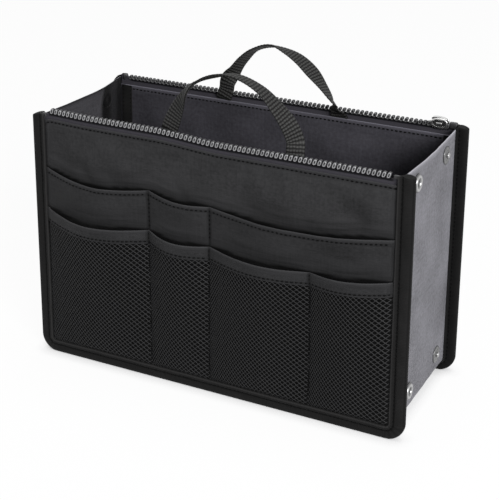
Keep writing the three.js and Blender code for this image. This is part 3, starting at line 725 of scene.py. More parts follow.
# The bindings are ribbed black tape folded over the raw edges of each panel down both sides and along the
# bottom, sewn through with one row of stitches and gathered round the two lower corners.
binding_stitch_inset = 6.8
binding_face = [(10.5, 0.5), (10.48, 0.0), (10.25, -0.4), (9.7, -0.6), (8.9, -0.55), (7.9, -0.4)]
binding_face += [(7.2, 0.1), (6.8, 0.5), (6.4, 0.1), (5.8, -0.35), (5.0, -0.5), (3.9, -0.5)]
binding_face += [(2.7, -0.36), (1.4, -0.05), (0.4, 0.45), (-0.3, 1.2), (-0.65, 2.2), (-0.75, 3.4)]
binding_face += [(-0.65, 4.8), (-0.25, 6.0), (0.6, 6.9), (1.7, 7.3), (3.2, 7.45), (4.6, 7.4)]
binding_face += [(5.8, 7.36), (6.35, 7.2), (6.5, 6.9), (6.5, 6.36)]
# The free edge of the back tape stands up along the gusset
binding_lip = [(5.6, 7.55), (6.05, 8.3), (6.25, 9.4), (6.4, 10.4), (6.6, 10.6), (6.75, 10.3), (6.75, 8.0)]
binding_turn = {"front": binding_face, "back": binding_face[:-4] + binding_lip + binding_face[-1:]}
binding_inner = [(5.8, 6.33), (1.5, 6.35), (1.05, 5.9), (0.95, 3.6), (1.05, 1.4), (1.6, 0.85), (9.7, 0.62)]
binding_middle = (5.0, 3.5)
binding_ridge = 9.7
# How far the outer corners of the tape's top ends are pressed down, at the left and the right
binding_slump = {"front": (1.6, 1.0), "back": (6.5, 1.2)}
# Share of the tape's full size at its last three stops
binding_squeeze = (0.84, 0.92, 0.98)


def binding_light(inset, depth):
    """Painted highlight along the free edge, and painted shade in the stitch groove, round the outer fold and
    inside.
    """
    if depth > 1.0:
        return -0.6
    ridge = 0.75 * bell(inset - binding_ridge, 0.6)
    return ridge - bell(inset - binding_stitch_inset, 0.6)


def ribbed_tape_finish(name, colour, rib, rough):
    """Woven tape with fine ribs across it, dull on top of the ribs, with painted light on the rib tops and
    painted shade between them, and painted highlights and shade from its marks.
    """
    made, tree = new_finish(name)
    place, marks = cloth_place(tree)
    painted_light = marks[2]
    ribs = sine(marks[1] * (2 * math.pi / rib)) * 0.5 + 0.5
    yarn = grain(tree, stretched(place, 260, 1400), 1.0, 2.0)
    cloud = grain(tree, place, 45.0, 3.0)
    tone = ribs * 0.35 + yarn * 0.5 + cloud * 1.3 - 0.57
    plain = mixed(tone, tinted(colour, 0.45), tinted(colour, 1.55))
    # Painted highlight where the mark is above nothing, and painted shade at 0.2 of the colour where it is
    # below
    shade = mixed(painted_light * -1.0, mixed(painted_light, plain, tinted(colour, 3.4)), tinted(colour, 0.2))
    others = {"Specular IOR Level": 0.06, "Sheen Weight": 0.03, "Sheen Roughness": 0.5}
    relief = (0.5, 0.00016, ribs * 0.8 + yarn * 0.5)
    set_shader(tree, shade, rough - 0.08 + cloud * 0.16, relief, others)
    return made


binding_tape = ribbed_tape_finish("binding_tape", (0.0105, 0.0103, 0.0103), 0.0011, 0.75)
for panel in panels:
    ends = [panel_height - 0.4, panel_height - 0.1, panel_height]
    ends = [(half_width(z) - corner_radius, z, 1.0, 0.0) for z in ends]
    stations = [(-x, z, -out, rise) for x, z, out, rise in reversed(ends)]
    stations += edge_stations(panel_height - 0.9, 130, 36, 170) + ends
    phase = 2.0 if panel == "front" else 31.0
    profile = binding_turn[panel] + binding_inner

    def gathered_tape(k, travelled):
        """The tape's profile with small waves, gathers where it turns a corner, and soft top ends."""
        x, z, out, rise = stations[k]
        turning = 4 * out * out * rise * rise
        from_end = min(k, len(stations) - 1 - k)
        share = binding_squeeze[from_end] if from_end < len(binding_squeeze) else 1.0
        slump = binding_slump[panel][int(x > 0)] * smooth(panel_height - 16, panel_height, z)
        found = []
        for inset, depth in profile:
            face = smooth(2, 6, inset) * (1.0 if depth < 0.4 else 0.0)
            ripple = 0.28 * turning * face * math.sin(travelled * 2.6 + phase)
            wave = 0.45 * face * crumple(travelled, 1.6 * inset, 9, phase)
            drift = 0.22 * crumple(travelled, 0, 24, phase + 5) * smooth(8, 10, inset)
            depth = binding_middle[1] + (depth - binding_middle[1]) * share
            inset = binding_middle[0] + (inset - binding_middle[0]) * share
            found.append((inset + drift, depth - ripple - wave, slump * max(1 - inset / 6.5, 0.0) ** 1.5))
        return found

    points, faces, cloth = edge_sweep(panel, stations, gathered_tape, binding_light)
    size = len(profile)
    cavity = list(range(len(binding_turn[panel]) - 1, size)) + [0]
    for start in (0, (len(stations) - 1) * size):
        faces.append(tuple(start + k for k in cavity))
    tape = (points, faces, cloth)
    body = f"{panel}_panel"
    sewn_piece(f"{panel}_edge_tape", tape, binding_tape, body, [f"{panel}_binding"])
    rows = {"outer": (binding_stitch_inset, 0.35, outwards), "inner": (4.6, 7.4, inwards)}
    for word, (inset, depth, facing) in rows.items():
        line = [edge_point(panel, station, inset, depth) for station in stations[3:-3]]
        sewn_line(f"{panel}_edge_stitches_{word}", [line], facing[panel], body)

# The seam tapes are narrow black tapes inside the compartment. They cover the cut edges where the side
# gussets meet the linings and are sewn down along both of their long edges.
seam_tape_width = 9.0
seam_tape_bottom = 30.0
seam_tape_top = 187.5
seam_tape_inset = 8.0
seam_tape_face = 5.35
seam_tape_back = 5.1
seam_tape_stitch_depth = 5.22
seam_tape_heights = spread(seam_tape_bottom, seam_tape_top, 80)
both_sides = ((-1, "left"), (1, "right"))


def seam_tape_place(side, height, share):
    """The place across of a share of the tape's width."""
    return side * (half_width(height) - seam_tape_inset - seam_tape_width * share)


def seam_tape_at(panel, side, j, i):
    height, share = seam_tape_heights[j], i / 12
    x = seam_tape_place(side, height, share)
    crown = 0.28 * (1 - (2 * share - 1) ** 6) + 0.06 * crumple(share * 9, height, 8, side)
    outer = (x, layer(panel, seam_tape_face + crown), height)
    return outer, (x, layer(panel, seam_tape_back), height), (seam_tape_width * share, height, 0.0)


for panel in panels:
    body = f"{panel}_panel"
    y = layer(panel, seam_tape_stitch_depth)
    for side, word in both_sides:
        tape = cloth_grid(81, 13, partial(seam_tape_at, panel, side))
        node = f"{panel}_seam_tape_{word}"
        sewn_piece(f"{panel}_cover_tape_{word}", tape, binding_tape, body, [node])
        lines = [
            [(seam_tape_place(side, z, share), y, z) for z in seam_tape_heights] for share in (0.14, 0.86)
        ]
        sewn_line(f"{panel}_cover_stitches_{word}", lines, inwards[panel], body)

# The zip tapes are herringbone tapes sewn between the outer cloth and the lining of each panel. About four
# millimetres show above the cloth, up to the corded edge that the teeth grip.
zip_half = 140.0
tape_bottom = 176.0
tape_top = 192.5
tape_near = 2.05
tape_far = 2.75
zip_tape_finish, zip_tree = new_finish("zip_tape")
zip_place, (zip_across, zip_along, zip_painted_shade) = cloth_place(zip_tree)
zip_slant = abs(sine(zip_along * (math.pi / 0.0024))) * 0.0016
zip_twill = sine((zip_across + zip_slant) * (2 * math.pi / 0.0009)) * 0.5 + 0.5
zip_cloud = grain(zip_tree, zip_place, 120.0, 3.0)
zip_tone = zip_twill * 0.35 + zip_cloud * 0.6
zip_shade = mixed(zip_tone, (0.032, 0.03, 0.037, 1), (0.06, 0.057, 0.067, 1))
# Painted shade under the teeth, from the mark along the corded edge
zip_colour = mixed(zip_painted_shade, zip_shade, (0.004, 0.004, 0.005, 1))
zip_relief = (0.5, 0.00015, zip_twill)
set_shader(zip_tree, zip_colour, 0.55 + zip_cloud * 0.15, zip_relief, {"Specular IOR Level": 0.08})
tape_end_rise = {"front": 0.8, "back": 2.4}
zip_tape_heights = spread(tape_bottom, tape_top, 33)


def zip_tape_at(panel, j, i):
    height = zip_tape_heights[j]
    x = zip_half * (2 * i / 200 - 1)
    clear = smooth(cloth_top, tape_top, height)
    cord = 0.35 * bell(height - tape_top + 0.9, 0.6)
    wave = 0.15 * clear * crumple(x, 0, 21, 2.2)
    z = lifted(panel, x, height) + tape_end_rise[panel] * clear * smooth(131, 135, abs(x))
    # Painted shade along the top of the tape just under the teeth
    painted_shade_under_teeth = smooth(tape_top - 2.3, tape_top - 1.3, height) * smooth(134, 131, abs(x))
    outer = (x, layer(panel, tape_near - cord + wave), z)
    return outer, (x, layer(panel, tape_far + cord + wave), z), (x, height, painted_shade_under_teeth)


for panel in panels:
    tape = cloth_grid(34, 201, partial(zip_tape_at, panel))
    node = f"{panel}_zip_tape"
    sewn_piece(f"{panel}_zip_cloth", tape, zip_tape_finish, f"{panel}_panel", [node])

# The zip teeth are moulded gunmetal plastic, one by one on the corded edge of each tape: slanting rounded
# blocks with a dimple in both faces. Each row ends in moulded stops and a pin or retainer.
tooth_pitch = 3.45
tooth_count = 77
tooth_first = -133.05
tooth_middle = 2.4
tooth_half_width = 1.4
# Middle height, half height, painted lightness and first tooth of each row; the back row is painted darker,
# as painted shade
tooth_rows = {"front": (194.4, 2.1, 1.0, 1), "back": (193.7, 1.85, 0.4, 0)}
tooth_slant = 0.3
collar_length = 2.4
# Rings from the dimple over the rim to the widest place: depth from the middle, draw-in and painted
# lightness, with painted shade in the dimple and at the widest place and a painted highlight on the rim
tooth_rings = [(0.6, 1.15, 0.1), (1.2, 1.0, 0.3), (1.4, 0.72, 1.0), (1.36, 0.42, 1.0), (1.1, 0.14, 0.5)]
tooth_rings += [(0.6, 0.0, 0.1)]
tooth_plastic, tooth_tree = new_finish("tooth_plastic")
tooth_place = tooth_tree.node("ShaderNodeTexCoord", output="Object")
tooth_cloud = grain(tooth_tree, tooth_place, 220.0, 2.0)
tooth_grit = grain(tooth_tree, tooth_place, 2600.0, 2.0)
tooth_painted_light = cloth_place(tooth_tree)[1][2]
tooth_rim = mixed(tooth_cloud, (0.2, 0.2, 0.205, 1), (0.4, 0.4, 0.41, 1))
# Nearly black where painted shade lies, and grey on the rims as a painted highlight
tooth_colour = mixed(tooth_painted_light, (0.012, 0.012, 0.013, 1), tooth_rim)
tooth_others = {"Metallic": 0.35, "Specular IOR Level": 0.3}
set_shader(tooth_tree, tooth_colour, 0.3 + tooth_grit * 0.16, (0.25, 0.0001, tooth_grit), tooth_others)


def blunted(sides, square_x, square_z, start=0.0):
    """Points round a form between an oval and a rectangle, from -1 to 1 both ways."""
    found = []
    for k in range(sides):
        angle = 2 * math.pi * (k + start) / sides
        c, s = math.cos(angle), math.sin(angle)
        found.append((math.copysign(abs(c) ** square_x, c), math.copysign(abs(s) ** square_z, s)))
    return found


def rounded_ring(half_x, half_y, sides, square):
    return [(half_x * x, half_y * y) for x, y in blunted(sides, square, square, 0.5)]


def moulded_block(panel, x0, x1, near, far, z0, z1, edge):
    """A block with rounded edges on a panel, such as a zip stop."""
    middle_x, middle_d = (x0 + x1) / 2, (near + far) / 2
    half_x, half_d = (x1 - x0) / 2, abs(far - near) / 2
    draws = [(z0, edge), (z0 + 0.3 * edge, 0.3 * edge), (z0 + edge, 0.0)]
    draws += [(z1 - edge, 0.0), (z1 - 0.3 * edge, 0.3 * edge), (z1, edge)]
    rings = []
    for height, draw in draws:
        ring = rounded_ring(half_x - draw, half_d - draw, 20, 0.5)
        rings.append([(middle_x + x, layer(panel, middle_d + d), height) for x, d in ring])
    return stacked_rings(rings)


for panel in panels:
    teeth, cloth = [], []
    shift = 0.0 if panel == "front" else tooth_pitch / 2
    tooth_level, tooth_half_height, light, first_tooth = tooth_rows[panel]
    sides = [(-depth, draw, painted_light) for depth, draw, painted_light in tooth_rings]
    sides += [(depth, draw, painted_light) for depth, draw, painted_light in reversed(tooth_rings)]
    for n in range(first_tooth, tooth_count):
        middle = tooth_first + shift + n * tooth_pitch
        level = tooth_level + zip_lift(panel, middle)
        rings = []
        for depth, draw, painted_light in sides:
            ring = rounded_ring(tooth_half_width - draw, tooth_half_height - draw, 16, 0.7)
            y = layer(panel, tooth_middle + depth)
            rings.append([(middle + x + tooth_slant * z, y, level + z) for x, z in ring])
            cloth += [(middle + x, level + z, painted_light * light) for x, z in ring]
        teeth.append(stacked_rings(rings))
    row = (*gathered(teeth), cloth)
    sewn_piece(f"{panel}_teeth", row, tooth_plastic, f"{panel}_panel", [f"{panel}_zip_teeth"])
for node in ("front_zip_stop", "back_zip_stop", "front_zip_pin", "back_zip_retainer"):
    panel = node.split("_")[0]
    low, high = (corner * 1000 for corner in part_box(node))
    depths = (low.y - front_face, high.y - front_face)
    if panel == "back":
        depths = (back_face - high.y, back_face - low.y)
    lift = 0.4 * zip_lift(panel, low.x)
    bottom, top = low.z + lift, high.z + lift
    main = moulded_block(panel, low.x, high.x, *depths, bottom, top, 0.5)
    collar_left = low.x if low.x < 0 else high.x - collar_length
    collar_depths = (depths[0] - 0.1, depths[1] + 0.1)
    collar = moulded_block(
        panel, collar_left, collar_left + collar_length, *collar_depths, bottom - 1.2, top - 0.3, 0.4
    )
    points, faces = gathered([main, collar])
    fitting = (points, faces, [(x, z, 0.1) for x, y, z in points])
    sewn_piece(node.replace("zip_", ""), fitting, tooth_plastic, f"{panel}_panel", [node])

# The slider is cast nickel-plated metal: two rounded plates over and under the teeth, a wedge between them
# and an arched bridge that holds the pull. The pull is a stamped tab with a slot that hangs on the bridge.
slider_low, slider_high = (corner * 1000 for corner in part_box("zip_slider"))
pull_low, pull_high = (corner * 1000 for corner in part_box("zip_pull"))
slider_left, slider_right = slider_low.x, slider_high.x
slider_bottom, slider_top = slider_low.z, slider_high.z - 1.2
slider_middle = (slider_left + slider_right) / 2
slider_outer = (-0.7, 0.8)
slider_inner = (4.0, 5.0)
nickel, nickel_tree = new_finish("nickel")
nickel_place = nickel_tree.node("ShaderNodeTexCoord", output="Object")
nickel_cloud = grain(nickel_tree, nickel_place, 160.0, 3.0)
nickel_rub = grain(nickel_tree, stretched(nickel_place, 500, 3000), 1.0, 2.0)
nickel_dark_dish = cloth_place(nickel_tree)[1][2]
nickel_shade = mixed(nickel_cloud, (0.5, 0.5, 0.5, 1), (0.72, 0.72, 0.71, 1))
# Darker in the dish of the inner plate, where the points are marked
nickel_colour = mixed(nickel_dark_dish, nickel_shade, (0.03, 0.03, 0.031, 1))
nickel_relief = (0.12, 0.00005, nickel_rub)
set_shader(nickel_tree, nickel_colour, 0.2 + nickel_rub * 0.16, nickel_relief, {"Metallic": 1.0})


def slider_outline(draw):
    """The plate's outline: pointed towards the open end and broad at the other."""
    half = (slider_top - slider_bottom) / 2 - draw
    middle = (slider_top + slider_bottom) / 2
    left, right = slider_left + draw, slider_right - draw
    found = []
    for x, z in blunted(48, 0.62, 0.7):
        waist = 1 - 0.16 * smooth(-0.2, -1.0, x)
        found.append(((left + right) / 2 + x * (right - left) / 2, middle + z * half * waist))
    return found


def slider_plate(near, far, edge, dish):
    """One plate of the slider with rounded edges and a shallow dish in its far face."""
    draws = [(near, edge), (near + 0.3 * edge, 0.3 * edge), (near + edge, 0.0), (far - edge, 0.0)]
    draws += [(far - 0.3 * edge, 0.3 * edge), (far, edge), (far, edge + 1.1), (far - dish, edge + 1.4)]
    outlines = [(depth, slider_outline(draw)) for depth, draw in draws]
    return stacked_rings([[(x, layer("back", depth), z) for x, z in ring] for depth, ring in outlines])


def bent_bar(line, half_width_z, half_thick):
    """A flat bar carried along a line of X and depth, with rounded edges."""
    rings = []
    for k, (x, depth) in enumerate(line):
        before = line[max(k - 1, 0)]
        after = line[min(k + 1, len(line) - 1)]
        run_x, run_d = after[0] - before[0], after[1] - before[1]
        length = math.hypot(run_x, run_d)
        out_x, out_d = -run_d / length, run_x / length
        ring = rounded_ring(half_thick, half_width_z, 16, 0.6)
        rings.append(
            [(x + out_x * a, layer("back", depth + out_d * a), pull_height + b) for a, b in ring]
        )
    return stacked_rings(rings)


pull_height = (slider_bottom + slider_top) / 2 - 0.5
bridge_half = 3.2
bridge_line = []
for angle in spread(0.0, math.pi, 24):
    across = math.copysign(abs(math.cos(angle)) ** 0.5, math.cos(angle))
    bridge_line.append((slider_middle - (bridge_half - 0.5) * across, -0.5 - 2.8 * math.sin(angle) ** 0.6))
wedge_level = 198.4
wedge_ring = rounded_ring(4.6, 1.15, 20, 0.8)
wedge_rings = [
    [(slider_left + 5 + x, layer("back", depth), wedge_level + z) for x, z in wedge_ring]
    for depth in (0.7, 1.2, 2.4, 3.6, 4.1)
]
slider_dish = 0.55
slider_forms = [slider_plate(*slider_outer, 0.45, 0.1), slider_plate(*slider_inner, 0.35, slider_dish)]
slider_level = (slider_bottom + slider_top) / 2
block_ends = (slider_middle - 2.4, slider_middle + 2.0)
block_levels = (slider_level - 0.8, slider_level + 0.8)
slider_forms.append(moulded_block("back", *block_ends, 4.2, 4.95, *block_levels, 0.3))
slider_forms += [stacked_rings(wedge_rings), bent_bar(bridge_line, 1.1, 0.5)]
rail_ends = (slider_left + 1, slider_right - 1)
for bottom in (slider_bottom, slider_top - 1.0):
    for depths in ((0.7, 1.65), (3.15, 4.1)):
        slider_forms.append(moulded_block("back", *rail_ends, *depths, bottom + 0.15, bottom + 0.95, 0.25))
points, faces = gathered(slider_forms)
dish_place = layer("back", slider_inner[1] - slider_dish)
# The points of the dish in the inner plate are marked darker
casting = (points, faces, [(x, z, 0.6 * (abs(y - dish_place) < 0.01)) for x, y, z in points])
sewn_piece("slider_casting", casting, nickel, "slider", ["zip_slider"])

pull_depth = (back_face - pull_high.y + back_face - pull_low.y) / 2
pull_half = (pull_high.z - pull_low.z) / 2 - 0.5
pull_hang = 0.2
pull_tail = pull_low.x
pull_eye = slider_middle
tab_half = 0.55


def pull_outline(draw):
    """The tab's outline: a rounded tail that narrows towards its eye."""
    found = []
    for x, z in blunted(64, 0.45, 0.45):
        length = (pull_eye + 0.6 - pull_tail) / 2 - draw
        waist = 1 - 0.14 * bell(x - 0.1, 0.35)
        place = (pull_eye + 0.6 + pull_tail) / 2 + x * length
        found.append((place, pull_height - pull_hang * (pull_eye - place) + z * (pull_half - draw) * waist))
    return found


def pull_slot(grow):
    """The slot that goes round the bridge."""
    found = []
    for x, z in blunted(64, 0.5, 0.5):
        place = pull_eye - 2.8 + x * (2.3 + grow)
        found.append((place, pull_height - pull_hang * (pull_eye - place) + z * (1.15 + grow)))
    return found


rim_draws = [(-tab_half, 0.35), (-tab_half + 0.12, 0.1), (-tab_half + 0.35, 0.0)]
rim_draws += [(tab_half - 0.35, 0.0), (tab_half - 0.12, 0.1), (tab_half, 0.35)]
slot_grows = [(tab_half, 0.3), (tab_half - 0.3, 0.0), (-tab_half + 0.3, 0.0), (-tab_half, 0.3)]
pull_rings = [(depth, pull_outline(draw)) for depth, draw in rim_draws]
pull_rings += [(depth, pull_slot(grow)) for depth, grow in slot_grows]
pull_rings = [[(x, layer("back", pull_depth + depth), z) for x, z in ring] for depth, ring in pull_rings]
# The last ring joins the first, so the two end faces are left out
points, faces = stacked_rings(pull_rings + pull_rings[:1])
tab = (points, faces[2:], [(x, z, 0.0) for x, y, z in points])
sewn_piece("pull_tab", tab, nickel, "pull", ["zip_pull"])

# The handles are half-inch black webbing, one length for each: its ends are sewn in between the zip tape and
# the lining, rise past the zip and run over in a loop that on the insert can fold down outwards, though here
# it is fixed in place.
webbing_width = 12.5
webbing_half = 0.5
web_step = 0.42
rib_pitch = 2.5
rib_columns = 6
rib_rise = 0.42
stand_depth = 6.0
loop_top_depth = 3.6
loop_start = 198.45
hinge_gap = 0.2
upright_share = 0.16
handle_feet = [(3.5, 177.0), (3.5, 187.4), (3.75, 188.3), (4.4, 189.1), (5.2, 189.8), (5.8, 190.6)]
handle_feet += [(6.0, 191.6), (6.0, 193.3), (6.0, 195.0), (6.0, 196.7), (6.0, 198.2)]
# Stops of a loop on its way up and down: share of the way from its end to its top, share of its rise, turn
# of the webbing in degrees, and how far it stands in from its panel there
front_up = [(0, 0, 0), (0.03, 0.08, 0), (0.14, 0.36, 22), (0.35, 0.73, 76), (0.66, 0.93, 106)]
front_down = [(0.57, 0.855, 90), (0.27, 0.58, 70), (0.1, 0.33, 50, 1.5), (0.02, 0.11, 38, 2.8)]
front_down += [(0, 0, 22, 1.2)]
back_up = [(0, 0, 0), (0.03, 0.14, 6, 0.5), (0.2, 0.42, 56), (0.37, 0.655, 66), (0.6, 0.87, 75)]
back_down = [(0.77, 0.925, 88), (0.575, 0.79, 103), (0.38, 0.58, 110, 0.5), (0.2, 0.34, 90, 2.0)]
back_down += [(0.06, 0.13, 74, 4.0), (0, 0, 56, 3.2)]
# Each handle: places of its left end, right end and top, its rise, and its turn at the top
handles = {"front": (-34.5, 61.0, 17.0, 46.0, 98), "back": (-43.8, 47.0, -7.0, 36.6, 70)}
handle_stops = {"front": (front_up, front_down), "back": (back_up, back_down)}
foot_lean = {"front": (0.0, 0.0), "back": (-3.0, 2.0)}
webbing, web_tree = new_finish("webbing")
web_place, web_marks = cloth_place(web_tree)
web_weave = sine(web_marks[0] * (math.pi * 1000 * rib_columns / webbing_width))
web_rib = abs(sine(web_marks[1] * (math.pi * 1000 / rib_pitch) + web_weave * 0.12)) ** 2.0
web_column = abs(web_weave) ** 0.4
web_yarn = grain(web_tree, stretched(web_place, 2200, 500), 1.0, 2.0)
web_cloud = grain(web_tree, web_place, 70.0, 2.0)
web_tone = web_rib * web_column * (web_yarn * 0.8 + 0.5) + web_cloud * 0.04
# Painted highlights on the rib tops and painted shade, nearly black, between them
web_colour = mixed(web_tone, (0.0008, 0.0008, 0.0008, 1), (0.056, 0.056, 0.054, 1))
web_relief = (0.6, 0.0002, web_yarn + web_column)
set_shader(web_tree, web_colour, 0.5 + web_yarn * 0.15, web_relief, {"Specular IOR Level": 0.12})


def eased_curve(stops, steps):
    """A smooth curve through its stops that never swings past them."""
    stops = [Vector(stop) for stop in stops]
    ends = [2 * stops[0] - stops[1]] + stops + [2 * stops[-1] - stops[-2]]
    found = []
    for p0, p1, p2, p3 in zip(ends, ends[1:], ends[2:], ends[3:]):
        first, second, third = ((b - a).length ** 0.5 for a, b in ((p0, p1), (p1, p2), (p2, p3)))
        leave = ((p1 - p0) / first - (p2 - p0) / (first + second) + (p2 - p1) / second) * second
        arrive = ((p2 - p1) / second - (p3 - p1) / (second + third) + (p3 - p2) / third) * second
        for k in range(steps):
            t = k / steps
            found.append(
                p1 * (2 * t**3 - 3 * t**2 + 1) + leave * (t**3 - 2 * t**2 + t)
                + p2 * (3 * t**2 - 2 * t**3) + arrive * (t**3 - t**2)
            )
    return found + [stops[-1]]


def handle_line(panel):
    """The middle of the webbing from end to end, with its turn in hundreds of degrees as a fourth value."""
    left, right, top, rise, top_turn = handles[panel]
    up, down = handle_stops[panel]

    def stop(end, share, level, turn, inward=0.0):
        depth = stand_depth + (loop_top_depth - stand_depth) * smooth(upright_share, 1, level) + inward
        height = loop_start + level * (rise - hinge_gap)
        return Vector((end + (top - end) * share, layer(panel, depth), height, turn / 100))

    def foot(end, loop_end, lean):
        found = []
        for depth, height in handle_feet:
            share = smooth(188.5, loop_start, height)
            place = layer(panel, depth) + share * (loop_end.y - layer(panel, stand_depth))
            found.append(Vector((end + lean * (1 - share), place, height, share * loop_end.w)))
        return found

    stops = [stop(left, *values) for values in up] + [stop(top, 1, 1, top_turn)]
    stops += [stop(right, *values) for values in down]
    left_lean, right_lean = foot_lean[panel]
    return foot(left, stops[0], left_lean) + eased_curve(stops, 40) + foot(right, stops[-1], right_lean)[::-1]


across_steps = 30
for panel in panels:
    rings, cloth = [], []
    stops = [place for place, ahead in along_line(handle_line(panel), web_step)]
    for k, place in enumerate(stops):
        travelled = (k + 0.5) * web_step
        angle = math.radians(100 * place.w)
        before = stops[max(k - 2, 0)].to_3d()
        ahead = (stops[min(k + 2, len(stops) - 1)].to_3d() - before).normalized()
        across = Vector((ahead.z, 0, -ahead.x)).normalized() * math.cos(angle)
        across += outwards[panel] * math.sin(angle)
        across = (across - ahead * across.dot(ahead)).normalized()
        facing = across.cross(ahead)
        ring = []
        for face in (1, -1):
            for side in spread(-face, face, across_steps):
                edge = (1 - abs(side) ** 5) ** 0.5
                weave = math.sin(math.pi * rib_columns * side / 2)
                rib = abs(math.sin(math.pi * travelled / rib_pitch + 0.12 * weave)) ** 0.8
                column = abs(weave) ** 0.4
                lift = webbing_half * (0.25 + 0.75 * edge) + rib_rise * edge * rib * (0.7 + 0.3 * column)
                ring.append(place.to_3d() + across * (side * webbing_width / 2) + facing * (face * lift))
                cloth.append((side * webbing_width / 2, travelled, 0.0))
        rings.append(ring)
    nodes = [f"{panel}_handle", f"{panel}_handle_end_left", f"{panel}_handle_end_right"]
    loop = (*stacked_rings(rings), cloth)
    strap = sewn_piece(f"{panel}_webbing", loop, webbing, None, nodes, crisp=75)
    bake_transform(strap)

# The upper pocket is one strip of the black nylon across the front, hemmed along its mouth, caught in the
# binding at its sides and bottom and sewn down along two upright seams, so it swells into three pockets.
strip_tuck = 9.4
strip_tuck_depth = 0.62
net_tuck_depth = 0.32
upper_pocket_height = 152.0
strip_thickness = 0.8
upper_stitch_drop = 3.2
upper_hem = 8.0
upper_reach = 139.0


def net_seams(height):
    return [-strip_edge(height), left_divider, middle_divider, right_divider, strip_edge(height)]


def tucked(x, height, face, edge_depth):
    """A strip's depth, drawn in under the binding along its sides and bottom."""
    clear = min(sheet_half(height, strip_tuck) - abs(x), height - strip_tuck)
    return edge_depth + (face - edge_depth) * smooth(0.8, 4.5, clear)


def upper_face(x, height):
    share = clamped((height - strip_inset) / (upper_pocket_height - strip_inset))
    rise = swell(x, upper_seams(max(height, strip_inset)))
    slack = 1.5 * crumple(x, 0.7 * height, 26, 1.4) + 0.7 * crumple(x, height, 11, 6.6)
    hem = 0.2 * smooth(upper_hem + 0.7, upper_hem - 0.7, upper_edge(x) - height)
    groove = 0.28 * bell(upper_edge(x) - height - upper_stitch_drop, 0.8)
    loose = cloth_near - strip_thickness - (upper_bulge + slack) * rise * share**3
    return tucked(x, height, loose - hem + groove, strip_tuck_depth)


def strip_columns(height, per_pocket, half):
    """Places across a strip with one on every seam."""
    seams = net_seams(height)
    stops = [-half] + seams[1:-1] + [half]
    found = []
    for low, high in zip(stops, stops[1:]):
        found += spread(low, high, per_pocket)[:-1]
    return found + [half]


def seam_shade(x, seams):
    """Shade in the crease of the nearest upright seam."""
    return 0.8 * max(bell(x - seam, 1.2) for seam in seams[1:-1])


def strip_sheet(face, bottom_at, top_at, rows, per_pocket, thickness, shade):
    """A closed strip on the front panel with a rounded fold along its top edge."""
    levels = [(share, 0.0) for share in spread(0.0, 1.0, rows)]
    levels += [(1.0, 1 - math.cos(angle)) for angle in fold_angles]
    flat = strip_columns(netted_top, per_pocket, net_half)

    def at(j, i):
        share, fold = levels[j]
        bottom, top = bottom_at(flat[i]), top_at(flat[i])
        height = bottom + (top - thickness / 2 - bottom) * share
        height += thickness / 2 * math.sin(math.acos(1 - fold))
        x = strip_columns(height, per_pocket, sheet_half(height, strip_tuck))[i]
        near = face(x, height)
        drawn = thickness / 2 * fold
        outer = (x, layer("front", near + drawn), height)
        inner = (x, layer("front", near + thickness - drawn), height)
        # Painted highlight along the top fold, less the painted shade given by shade
        return outer, inner, (x, height, math.exp(-(top - height) / 0.7) - shade(x, height))

    return cloth_grid(len(levels), len(flat), at)


def mouth_stitches(seams, margin, line_at, face):
    """Lines for stitches along a mouth, one for each pocket, with a margin beside its seams."""
    lines = []
    for low, high in zip(seams, seams[1:]):
        clear = margin * (high - low)
        places = [(x, line_at(x)) for x in spread(low + clear, high - clear, 60)]
        lines.append([(x, layer("front", face(x, z) - 0.1), z) for x, z in places])
    return lines


def upright_stitches(x, bottom, top, steps, face, stand):
    """A line for stitches down a seam between pockets."""
    return [(x, layer("front", face(x, z) - stand), z) for z in spread(bottom, top, steps)]


def strip_bottom(x):
    return strip_tuck


netted_top = 122.8
net_mouth = [123.0, 121.7, 118.6, 117.6, 120.6]
net_sags = [2.0, 0.2, 0.0, 0.0]
net_bulge = 9.4
net_half = sheet_half(netted_top, strip_tuck)


def net_edge(x):
    return mouth_line(x, net_seams(netted_top), net_mouth, net_sags)


def net_stand(x):
    """How far the net's mouth stands off the strip behind it."""
    return net_bulge * swell(x, net_seams(netted_top))


def upper_shade(x, height):
    """Shade of the upper pocket inside the net pocket, along its stitches and beside the binding."""
    inside_net = mouth_shade(x, height, net_edge, net_stand)
    sewn = 0.4 * bell(upper_edge(x) - height - upper_stitch_drop, 0.9)
    return max(inside_net, sewn, beside_binding(x, height), seam_shade(x, upper_seams(height)))


pocket_nylon = woven_finish("pocket_nylon", (0.0245, 0.0245, 0.0256), 0.00034, 0.62, 0.08, 2.0)
upper_form = strip_sheet(upper_face, strip_bottom, upper_edge, 90, 34, strip_thickness, upper_shade)
upper_pocket = sewn_piece(
    "upper_pocket_cloth", upper_form, pocket_nylon, "front_panel", ["upper_pocket"]
)
upper_line = [(x, upper_face(x, upper_edge(x))) for x in strip_columns(netted_top, 34, upper_reach)]
upper_flat = sum(math.dist(a, b) for a, b in zip(upper_line, upper_line[1:]))


def upper_hem_line(x):
    return upper_edge(x) - upper_stitch_drop


hem_lines = mouth_stitches(upper_seams(upper_mouth[0]), 0.015, upper_hem_line, upper_face)
for x in (left_divider, middle_divider):
    hem_lines.append(upright_stitches(x, netted_top + 1, upper_edge(x) - 0.5, 20, upper_face, 0.1))
sewn_line("upper_pocket_stitches", hem_lines, outwards["front"], "front_panel")

# The net pocket lies over the upper pocket: knotted black mesh with diamond openings, caught in the binding
# like the strip behind it and sewn down along three upright seams into four pockets.
net_fullness = 0.45
net_band_height = 10.6
strip_gap = 0.25
net_cell_width = 4.3
net_excess = 1.34
net_cell_height = 3.8
strand_half = 0.2
net_yarn, net_tree = new_finish("net_yarn")
net_place, net_marks = cloth_place(net_tree)
net_cloud = grain(net_tree, net_place, 90.0, 2.0)
net_fibre = grain(net_tree, net_place, 2400.0, 2.0)
